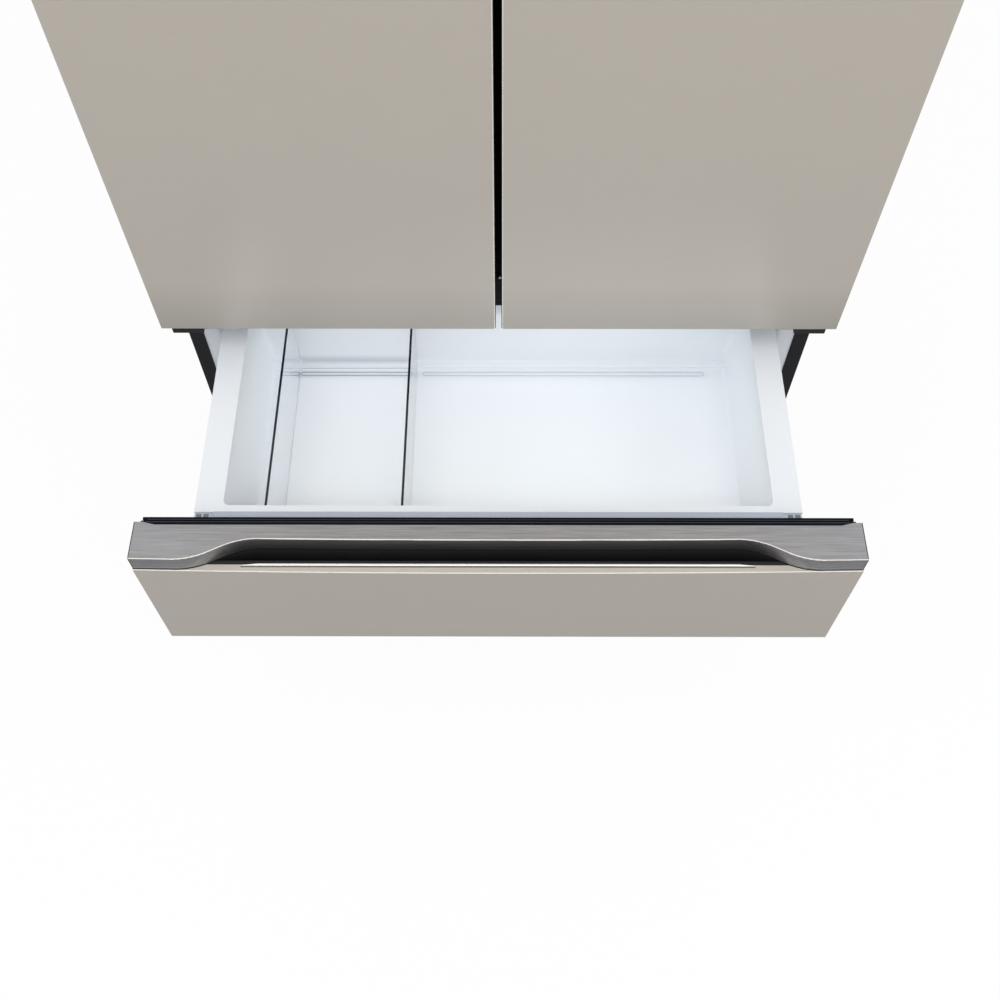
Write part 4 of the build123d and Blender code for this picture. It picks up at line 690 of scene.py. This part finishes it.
def gasket_lip(name, body):
    """The gasket's lip lying over the rail's rear edge, with tapered ends."""
    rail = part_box(name + "_rail")[1]
    near = rail.y - LIP_OVER
    outline = [
        (-LIP_END, rail.y), (LIP_END, rail.y), (LIP_END - LIP_TAPER, near), (LIP_TAPER - LIP_END, near),
    ]
    shape = bmesh.new()
    foot = [shape.verts.new((x, y, rail.z - HAIR)) for x, y in outline]
    crest = [shape.verts.new((x * LIP_CREST, y, rail.z + LIP_RISE)) for x, y in outline]
    join_rings(shape, [foot, crest])
    shape.faces.new(crest)
    shape.faces.new(foot)
    add_piece(name + "_gasket_lip", shape, "seal_rubber", body)


def gasket_highlight_ridges(name, body):
    """Two thin ridges along the top of the gasket and its lip, in a blue-grey that paints the highlights on
    the rubber's edges.
    """
    seal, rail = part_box(name + "_gasket")[1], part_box(name + "_rail")[1]
    end = LIP_END - RIDGE_END
    boxes = []
    for y, top in ((seal.y - RIDGE_INSET, seal.z), (rail.y - RIDGE_LIP, rail.z + LIP_RISE)):
        boxes.append(((-end, y - RIDGE_HALF, top - HAIR), (end, y + RIDGE_HALF, top + RIDGE_HALF)))
    bars(name + "_gasket_highlight_ridges", boxes, "gasket_highlight_blue", body, HAIR)


def liner_shade_strip(name, body):
    """Painted shade: a grey-blue strip on the front's inner skin, between the gasket and the bin, where the
    skin lies in shadow.
    """
    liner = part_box(name + "_front_liner")[1]
    low = (-LINER_SHADE_HALF, liner.y - LINER_SHADE_DEPTH, liner.z - HAIR)
    high = (LINER_SHADE_HALF, liner.y - LINER_SHADE_REAR, liner.z + CAP_RISE)
    bars(name + "_liner_shade_strip", [(low, high)], "shaded_plastic", body, HAIR)


def runner_caps(name, body):
    """Pale caps with grey pads on the runners, beside the front's inner skin."""
    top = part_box(name + "_runners")[1]
    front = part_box(name + "_bin")[0].y
    plates, pads = [], []
    for side in (-1, 1):
        left, right = on_side(side, LINER_SHADE_HALF, top.x - FINE)
        plates.append(
            ((left, front - PLATE_FRONT, top.z - FINE), (right, front - PLATE_REAR, top.z + CAP_RISE))
        )
        for inner, outer in PAD_SPANS:
            left, right = on_side(side, inner, outer)
            pads.append(((left, front - PAD_FRONT, top.z), (right, front - PAD_REAR, top.z + PAD_RISE)))
    bars(name + "_runner_caps", plates, "pale_line", body, HAIR)
    bars(name + "_runner_pads", pads, "pad_grey", body, FINE)


def dress_front(name, body):
    """All the fittings of one drawer front."""
    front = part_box(name + "_panel")[0].y + BOW
    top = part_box(name + "_rail")[1].z
    level = top - LIP
    rail_edge(name, front, top, body)
    pocket_trim(name, front, level, body)
    pocket_strip(
        name + "_pocket_seam", TRIM_TIP, front + SEAM_FRONT, front + TRIM_FRONT, level, "seam_grey", body
    )
    pocket_strip(
        name + "_pocket_shade", SHADE_HALF, front + SHADE_FRONT, front + SHADE_REAR, level,
        "black_plastic", body,
    )
    panel_highlight_bead(name, front, level, body)
    gasket_lip(name, body)
    gasket_highlight_ridges(name, body)
    liner_shade_strip(name, body)
    runner_caps(name, body)


dress_front("middle", "middle_drawer")
dress_front("freezer", "freezer_drawer")


# Dividers: dark polished top edges and grey feet

CAP_TALL = 0.0011
CAP_INSET = 0.0006
CAP_CROWN = 0.0005
FOOT_HALF = 0.0005
FOOT_FRONT = 0.004
FOOT_REAR = 0.02
FOOT_TALL = 0.0008


def divider_edge(node, body):
    """Cap along the divider's top edge."""
    low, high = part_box(node)
    middle = (low.x + high.x) / 2
    half = (high.x - low.x) / 2 + HAIR
    profile = [
        (half, -CAP_TALL), (half, FINE), (half * 0.6, CAP_CROWN), (-half * 0.6, CAP_CROWN), (-half, FINE),
        (-half, -CAP_TALL),
    ]
    shape = bmesh.new()
    sweep(shape, [(middle, low.y + CAP_INSET, high.z), (middle, high.y - CAP_INSET, high.z)], profile)
    add_piece(node + "_edge", shape, "smoked_edge", body)


def divider_foot(node, body):
    """Grey foot strip that the plate stands in, along its lower edge."""
    low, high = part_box(node)
    middle = (low.x + high.x) / 2
    near = (middle - FOOT_HALF, low.y + FOOT_FRONT, low.z)
    far = (middle + FOOT_HALF, high.y - FOOT_REAR, low.z + FOOT_TALL)
    bars(node + "_foot", [(near, far)], "line_grey", body, HAIR)


for side in ("left", "right"):
    divider_edge(side + "_divider", side + "_divider_body")
    divider_foot(side + "_divider", side + "_divider_body")


# Painted shade lines for the groove and the step on the middle bin's floor

GROOVE_LEFT = -0.3202
GROOVE_RIGHT = 0.3117
GROOVE_FRONT = -0.1229
GROOVE_REAR = -0.1168
GROOVE_ROUND = 0.00305
GROOVE_CLEAR = 0.0015
GROOVE_FAR = 0.0085
GROOVE_STEPS = 24
# Depth of each line along the step, and its width as a share of LINE
STEP_LINES = ((-0.1071, 1.0), (-0.1099, 0.45))
STEP_CLEAR = 0.001
STEP_FAR = 0.004
STEP_END = 0.3202
LINE = 0.0006
THIN_LINE = 0.0003
LINE_SINK = 0.0003


def slot_line(shape, left, right, floor):
    """Outline of a round-ended slot as a thin raised line."""
    middle = (GROOVE_FRONT + GROOVE_REAR) / 2
    path = []
    for end, side in ((left, 1), (right, -1)):
        for i in range(GROOVE_STEPS + 1):
            angle = side * pi / 2 + pi * i / GROOVE_STEPS
            x = end + side * GROOVE_ROUND * (1 + side * cos(angle))
            path.append((x, middle + GROOVE_ROUND * sin(angle), floor))
    path.append((left + GROOVE_ROUND, middle + GROOVE_ROUND, floor))
    sweep(shape, path, [(-LINE, -HAIR), (-LINE, FINE), (LINE, FINE), (LINE, -HAIR)])


def step_line(shape, left, right, y, half, floor):
    """Straight raised line along the step at the rear of the floor."""
    fill_bar(shape, (left, y - half, floor - HAIR), (right, y + half, floor + FINE), FINE)


def groove_shade_lines():
    """Painted shade lines standing in for the groove's and step's edges in the three compartments, plain ones
    on the left and paler ones on the right.
    """
    left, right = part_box("left_divider"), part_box("right_divider")
    floor = left[0].z - LINE_SINK
    shape = bmesh.new()
    slot_line(shape, GROOVE_LEFT, left[0].x - GROOVE_CLEAR, floor)
    slot_line(shape, left[1].x + GROOVE_CLEAR, right[0].x - GROOVE_CLEAR, floor)
    for y, share in STEP_LINES:
        step_line(shape, left[1].x + STEP_CLEAR, right[0].x - STEP_CLEAR, y, LINE * share, floor)
    add_piece("groove_shade_left", shape, "line_grey", "middle_drawer")
    shape = bmesh.new()
    slot_line(shape, right[1].x + GROOVE_FAR, GROOVE_RIGHT, floor)
    step_line(shape, right[1].x + STEP_FAR, STEP_END, STEP_LINES[0][0], THIN_LINE, floor)
    add_piece("groove_shade_right", shape, "pale_line", "middle_drawer")


groove_shade_lines()


# Cabinet and doors: band on the cross rail, hinge plates, metal bands, painted highlight and shade on the
# edges of the gap, screws

BAND_LOW = 0.729
BAND_HIGH = 0.7478
BAND_THICK = 0.0002
BAND_END = 0.002
BAND_EDGE = 0.00005
PLATE_INNER = 0.4005
PLATE_OUTER = 0.4425
PLATE_NEAR = 0.0012
PLATE_FAR = 0.022
PLATE_BELOW = 0.0105
PLATE_ABOVE = 0.001
PLATE_EDGE = 0.0006
BAND_ROUND = 0.0003
BIN_BAND_ROUND = 0.0004
SHELF_DROPS = (0.0, 0.18, 0.37)
SHELF_BAND_INNER = 0.008
SHELF_BAND_OUTER = 0.002
SHELF_BAND_FRONT = 0.0003
SHELF_BAND_REAR = 0.0006
SHELF_BAND_LOW = 0.0105
SHELF_BAND_HIGH = 0.0015
BIN_DROPS = (0.0, 0.235, 0.47)
BIN_BAND_INNER = 0.0765
BIN_BAND_OUTER = 0.396
BIN_BAND_FRONT = 0.0022
BIN_BAND_REAR = 0.0003
BIN_BAND_LOW = 0.012
BIN_BAND_HIGH = 0.0012
CRISPER_BAND_END = 0.014
CRISPER_BAND_REAR = 0.003
CRISPER_BAND_LOW = 0.0029
CRISPER_BAND_PROUD = 0.0004
HIGHLIGHT_FOLD = 0.0013
HIGHLIGHT_FOLD_DEEP = 0.0012
RETURN_INNER = 0.0004
RETURN_OUTER = 0.0009
RETURN_NEAR = 0.0016
RETURN_FAR = 0.012
LINE_END = 0.0004
LOW_SCREW = 0.8054
HIGH_SCREW = 1.69
POST_SCREW_X = 0.0018
POST_SCREW_SIZE = (0.0024, 0.0003)
POST_FOOT_HALF = 0.026
POST_FOOT_LONG = 0.012
POST_FOOT_SHORT = 0.01
POST_FOOT_DEEP = 0.001
POST_FOOT_PROUD = 0.0003
REAR_SCREW = 0.0045
REAR_INSET = 0.0008
BACK_EDGE = 0.012
BACK_HEIGHTS = (0.35, 0.7, 1.05, 1.4)
BACK_SPREAD = (-0.3, 0.0, 0.3)
COVER_EDGE = 0.01
COVER_SPREAD = (-0.2, 0.2)
GRILLE_SCREW = 0.0035
GRILLE_EDGE = 0.005


def rail_band():
    """White band along the rail between the doors and the middle drawer."""
    low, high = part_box("fresh_liner")
    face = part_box("cross_rails")[0].y
    near = (low.x + BAND_END, face - BAND_THICK, BAND_LOW)
    far = (high.x - BAND_END, face, BAND_HIGH)
    bars("rail_band", [(near, far)], "white_plastic", "cabinet", BAND_EDGE)


def hinge_plates():
    """Black plates of the lower hinges, just behind the doors' faces."""
    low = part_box("left_door_panel")[0]
    boxes = []
    for side in (-1, 1):
        left, right = on_side(side, PLATE_INNER, PLATE_OUTER)
        boxes.append(
            ((left, low.y + PLATE_NEAR, low.z - PLATE_BELOW), (right, low.y + PLATE_FAR, low.z - PLATE_ABOVE))
        )
    bars("hinge_plates", boxes, "black_plastic", "cabinet", PLATE_EDGE)


def shelf_trims():
    """Metal bands on the front rims of the glass shelves."""
    low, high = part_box("shelves")
    near, far = low.y - SHELF_BAND_FRONT, low.y + SHELF_BAND_REAR
    boxes = []
    for drop in SHELF_DROPS:
        top = high.z - drop
        for side in (-1, 1):
            left, right = on_side(side, SHELF_BAND_INNER, high.x - SHELF_BAND_OUTER)
            boxes.append(((left, near, top - SHELF_BAND_LOW), (right, far, top - SHELF_BAND_HIGH)))
    bars("shelf_trims", boxes, "handle_steel", "cabinet", BAND_ROUND)


def door_bin_trims(side, sign):
    """Metal bands along the upper front edges of a door's bins."""
    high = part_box(side + "_door_bins")[1]
    left, right = on_side(sign, BIN_BAND_INNER, BIN_BAND_OUTER)
    near, far = high.y - BIN_BAND_FRONT, high.y + BIN_BAND_REAR
    boxes = []
    for drop in BIN_DROPS:
        top = high.z - drop
        boxes.append(((left, near, top - BIN_BAND_LOW), (right, far, top - BIN_BAND_HIGH)))
    bars(side + "_door_bin_trims", boxes, "handle_steel", side + "_door", BIN_BAND_ROUND)


def crisper_trim(side):
    """Metal band over a crisper's pull lip."""
    low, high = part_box(side + "_crisper")
    near = (low.x + CRISPER_BAND_END, low.y - CRISPER_BAND_PROUD, high.z - CRISPER_BAND_LOW)
    far = (high.x - CRISPER_BAND_END, low.y + CRISPER_BAND_REAR, high.z + CRISPER_BAND_PROUD)
    bars(side + "_crisper_trim", [(near, far)], "handle_steel", side + "_crisper_body", BAND_ROUND)


def door_gap_highlight_and_shade(side, sign):
    """Painted highlight and painted shade on a door's folded panel edges beside the gap between the doors: a
    bright line on the front edge and a dark strip on the return.
    """
    low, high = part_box(side + "_door_panel")
    x = high.x if sign < 0 else low.x
    bottom, top = low.z + LINE_END, high.z - LINE_END
    left, right = sorted((x, x + sign * HIGHLIGHT_FOLD))
    bars(
        side + "_door_highlight", [((left, low.y - HAIR, bottom), (right, low.y + HIGHLIGHT_FOLD_DEEP, top))],
        "painted_highlight", side + "_door", BAND_ROUND,
    )
    left, right = sorted((x + sign * RETURN_INNER, x - sign * RETURN_OUTER))
    bars(
        side + "_door_gap_shade", [((left, low.y + RETURN_NEAR, bottom), (right, low.y + RETURN_FAR, top))],
        "post_black", side + "_door", FINE,
    )


def post_fittings():
    """Feet of the centre post with a screw in each; the longer end of a foot points away from the middle."""
    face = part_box("centre_post")[0].y
    front = face - POST_FOOT_PROUD
    boxes = []
    for bottom, top in (
        (LOW_SCREW - POST_FOOT_LONG, LOW_SCREW + POST_FOOT_SHORT),
        (HIGH_SCREW - POST_FOOT_SHORT, HIGH_SCREW + POST_FOOT_LONG),
    ):
        boxes.append(((-POST_FOOT_HALF, front, bottom), (POST_FOOT_HALF, face + POST_FOOT_DEEP, top)))
    bars("post_feet", boxes, "post_black", "cabinet", HAIR)
    # The screw heads take the near-white of the painted highlight
    places = [(POST_SCREW_X, front, z) for z in (LOW_SCREW, HIGH_SCREW)]
    radius, height = POST_SCREW_SIZE
    screws("post_screws", places, (0, -1, 0), radius, "painted_highlight", "cabinet", height)


def cabinet_screws():
    """Screws of the rear panels and the toe grille."""
    low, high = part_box("back_panel")
    rear = high.y - REAR_INSET
    places = [(x, rear, z) for x in (low.x + BACK_EDGE, high.x - BACK_EDGE) for z in BACK_HEIGHTS]
    places += [(x, rear, high.z - BACK_EDGE) for x in BACK_SPREAD]
    screws("back_screws", places, (0, 1, 0), REAR_SCREW, "screw_steel", "cabinet")
    low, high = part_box("machine_cover")
    sides, levels = (low.x + COVER_EDGE, high.x - COVER_EDGE), (low.z + COVER_EDGE, high.z - COVER_EDGE)
    places = [(x, high.y, z) for x in sides for z in levels]
    places += [(x, high.y, high.z - COVER_EDGE) for x in COVER_SPREAD]
    screws("cover_screws", places, (0, 1, 0), REAR_SCREW, "screw_steel", "cabinet")
    low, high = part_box("toe_grille")
    places = [(x, low.y, (low.z + high.z) / 2) for x in (low.x + GRILLE_EDGE, high.x - GRILLE_EDGE)]
    screws("grille_screws", places, (0, -1, 0), GRILLE_SCREW, "screw_steel", "cabinet")


rail_band()
hinge_plates()
shelf_trims()
for side, sign in (("left", -1), ("right", 1)):
    door_bin_trims(side, sign)
    crisper_trim(side)
for side, sign in (("left", -1), ("right", 1)):
    door_gap_highlight_and_shade(side, sign)
post_fittings()
cabinet_screws()


# The evaporator's fine fins and the threads of the legs

FIN_PITCH = 0.006
FIN_THICK = 0.0003
FIN_INSET = 0.001
FIN_START = 0.018
FIN_MARGINS = 0.03
FIN_SHORT = 0.002
FIN_EDGE = 0.00005
THREAD_PITCH = 0.0015
THREAD_HALF = 0.00045
THREAD_ROOT = 0.005
THREAD_CREST = 0.0054
THREAD_LOW = 0.016
THREAD_HIGH = 0.046
THREAD_SIDES = 24


def evaporator_fins():
    """Thin fins among the evaporator's packed ones."""
    low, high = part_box("evaporator")
    shape = bmesh.new()
    for i in range(int((high.x - low.x - FIN_MARGINS) / FIN_PITCH)):
        x = low.x + FIN_START + FIN_PITCH * i
        near = (x, low.y + FIN_INSET, low.z + FIN_SHORT)
        far = (x + FIN_THICK, high.y - FIN_INSET, high.z - FIN_SHORT)
        fill_bar(shape, near, far, FIN_EDGE)
    add_piece("evaporator_fins", shape, "coil_aluminium", "cabinet", smooth=False)


def thread(side):
    """Helical thread on a leg's stud, between its hexagon and the boss."""
    low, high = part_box(side + "_leg")
    x, y = (low.x + high.x) / 2, (low.y + high.y) / 2
    profile = ((THREAD_ROOT, -THREAD_HALF), (THREAD_CREST, 0.0), (THREAD_ROOT, THREAD_HALF))
    turns = int((THREAD_HIGH - THREAD_LOW) / THREAD_PITCH)
    shape = bmesh.new()
    rings = []
    for i in range(turns * THREAD_SIDES + 1):
        angle = 2 * pi * i / THREAD_SIDES
        z = THREAD_LOW + THREAD_PITCH * i / THREAD_SIDES
        ring = []
        for reach, lift in profile:
            ring.append(shape.verts.new((x + reach * cos(angle), y + reach * sin(angle), z + lift)))
        rings.append(ring)
    join_rings(shape, rings)
    shape.faces.new(rings[0])
    shape.faces.new(rings[-1])
    add_piece(side + "_thread", shape, "galvanised", side + "_leg_body")


evaporator_fins()
thread("left")
thread("right")


# Floor, light and surroundings

WHITE = (1.0, 1.0, 1.0, 1.0)
SKY = (0.95, 0.97, 1.0, 1.0)
SKY_STRENGTH = 0.58
FLOOR_TONE = (0.4, 0.4, 0.4, 1.0)
FLOOR_LIGHTER = 1.04
FLOOR_CLOUD = 0.7
FLOOR_ROUGH = 0.9
FLOOR_GLOW = 0.94
FLOOR_HALF = 30.0
KEY_POWER = 40.0
SIDE_POWERS = (17.0, 23.0)
FRONT_POWER = 10.0
REAR_POWER = 20.0
BIN_POWER = 0.155
BIN_LAMP_PLACE = (0.0, -0.26, 0.7135)
BIN_LAMP_SIZE = (0.64, 0.28)
BIN_LAMP_COLOUR = (1.0, 1.0, 0.94)


def make_floor():
    """Plain white floor that keeps a faint shadow."""
    graph = Graph("floor")
    tree = graph.tree
    path = graph.add("ShaderNodeLightPath")
    cloud = graph.spread(graph.noise(FLOOR_CLOUD), 0.0, 1.0)
    tint = graph.blend(cloud, FLOOR_TONE, scaled(FLOOR_TONE, FLOOR_LIGHTER))
    tint = graph.blend(path.outputs["Is Camera Ray"], tint, WHITE)
    graph.put(graph.shader.inputs["Base Color"], tint)
    graph.shader.inputs["Roughness"].default_value = FLOOR_ROUGH
    graph.shader.inputs["Specular IOR Level"].default_value = 0.0
    glow = graph.add("ShaderNodeEmission", Color=WHITE, Strength=1.0)
    share = graph.reckon(path.outputs["Is Camera Ray"], "MULTIPLY", FLOOR_GLOW)
    mix = graph.add("ShaderNodeMixShader", Fac=share)
    tree.links.new(graph.shader.outputs[0], mix.inputs[1])
    tree.links.new(glow.outputs[0], mix.inputs[2])
    tree.links.new(mix.outputs[0], tree.nodes["Material Output"].inputs["Surface"])
    half = FLOOR_HALF
    corners = [(-half, -half, 0), (half, -half, 0), (half, half, 0), (-half, half, 0)]
    mesh = bpy.data.meshes.new("floor")
    mesh.from_pydata(corners, [], [(0, 1, 2, 3)])
    mesh.materials.append(graph.material)
    floor = bpy.data.objects.new("floor", mesh)
    bpy.context.scene.collection.objects.link(floor)


def make_world():
    """White to the eye, in metal and in glass, and a soft light to everything else."""
    world = bpy.data.worlds.new("studio")
    bpy.context.scene.world = world
    world.use_nodes = True
    tree = world.node_tree
    tree.nodes.clear()
    path = tree.nodes.new("ShaderNodeLightPath")
    white = tree.nodes.new("ShaderNodeBackground")
    soft = tree.nodes.new("ShaderNodeBackground")
    mix = tree.nodes.new("ShaderNodeMixShader")
    output = tree.nodes.new("ShaderNodeOutputWorld")
    seen = path.outputs["Is Camera Ray"]
    for kind in ("Is Glossy Ray", "Is Transmission Ray"):
        either = tree.nodes.new("ShaderNodeMath")
        either.operation = "MAXIMUM"
        tree.links.new(seen, either.inputs[0])
        tree.links.new(path.outputs[kind], either.inputs[1])
        seen = either.outputs[0]
    soft.inputs["Color"].default_value = SKY
    soft.inputs["Strength"].default_value = SKY_STRENGTH
    white.inputs["Color"].default_value = WHITE
    white.inputs["Strength"].default_value = 1.0
    tree.links.new(seen, mix.inputs[0])
    tree.links.new(soft.outputs[0], mix.inputs[1])
    tree.links.new(white.outputs[0], mix.inputs[2])
    tree.links.new(mix.outputs[0], output.inputs["Surface"])


def softbox(name, place, target, width, height, power, colour=(1.0, 1.0, 1.0)):
    """Rectangular lamp that looks at a point."""
    data = bpy.data.lights.new(name, "AREA")
    data.shape = "RECTANGLE"
    data.size, data.size_y = width, height
    data.energy = power
    data.color = colour
    lamp = bpy.data.objects.new(name, data)
    lamp.location = place
    lamp.rotation_euler = (Vector(target) - Vector(place)).to_track_quat("-Z", "Y").to_euler()
    bpy.context.scene.collection.objects.link(lamp)
    return lamp


def make_bin_fill():
    """Unseen lamp over the middle bin's floor, facing straight down."""
    below = (BIN_LAMP_PLACE[0], BIN_LAMP_PLACE[1], 0.0)
    lamp = softbox("bin_fill", BIN_LAMP_PLACE, below, *BIN_LAMP_SIZE, BIN_POWER, BIN_LAMP_COLOUR)
    lamp.visible_camera = False
    lamp.visible_glossy = False
    lamp.visible_transmission = False


make_floor()
make_world()
softbox("key", (0.0, -1.8, 3.9), (0.0, -0.3, 0.8), 3.2, 1.8, KEY_POWER)
softbox("side_left", (-2.8, -1.6, 2.1), (0.0, -0.4, 0.7), 1.6, 1.6, SIDE_POWERS[0])
softbox("side_right", (2.8, -1.6, 2.1), (0.0, -0.4, 0.7), 1.6, 1.6, SIDE_POWERS[1])
softbox("front_fill", (0.0, -4.0, 1.6), (0.0, -0.3, 0.9), 3.0, 1.6, FRONT_POWER)
make_bin_fill()
softbox("rear_fill", (0.0, 3.6, 3.0), (0.0, 0.4, 0.9), 3.0, 2.0, REAR_POWER)
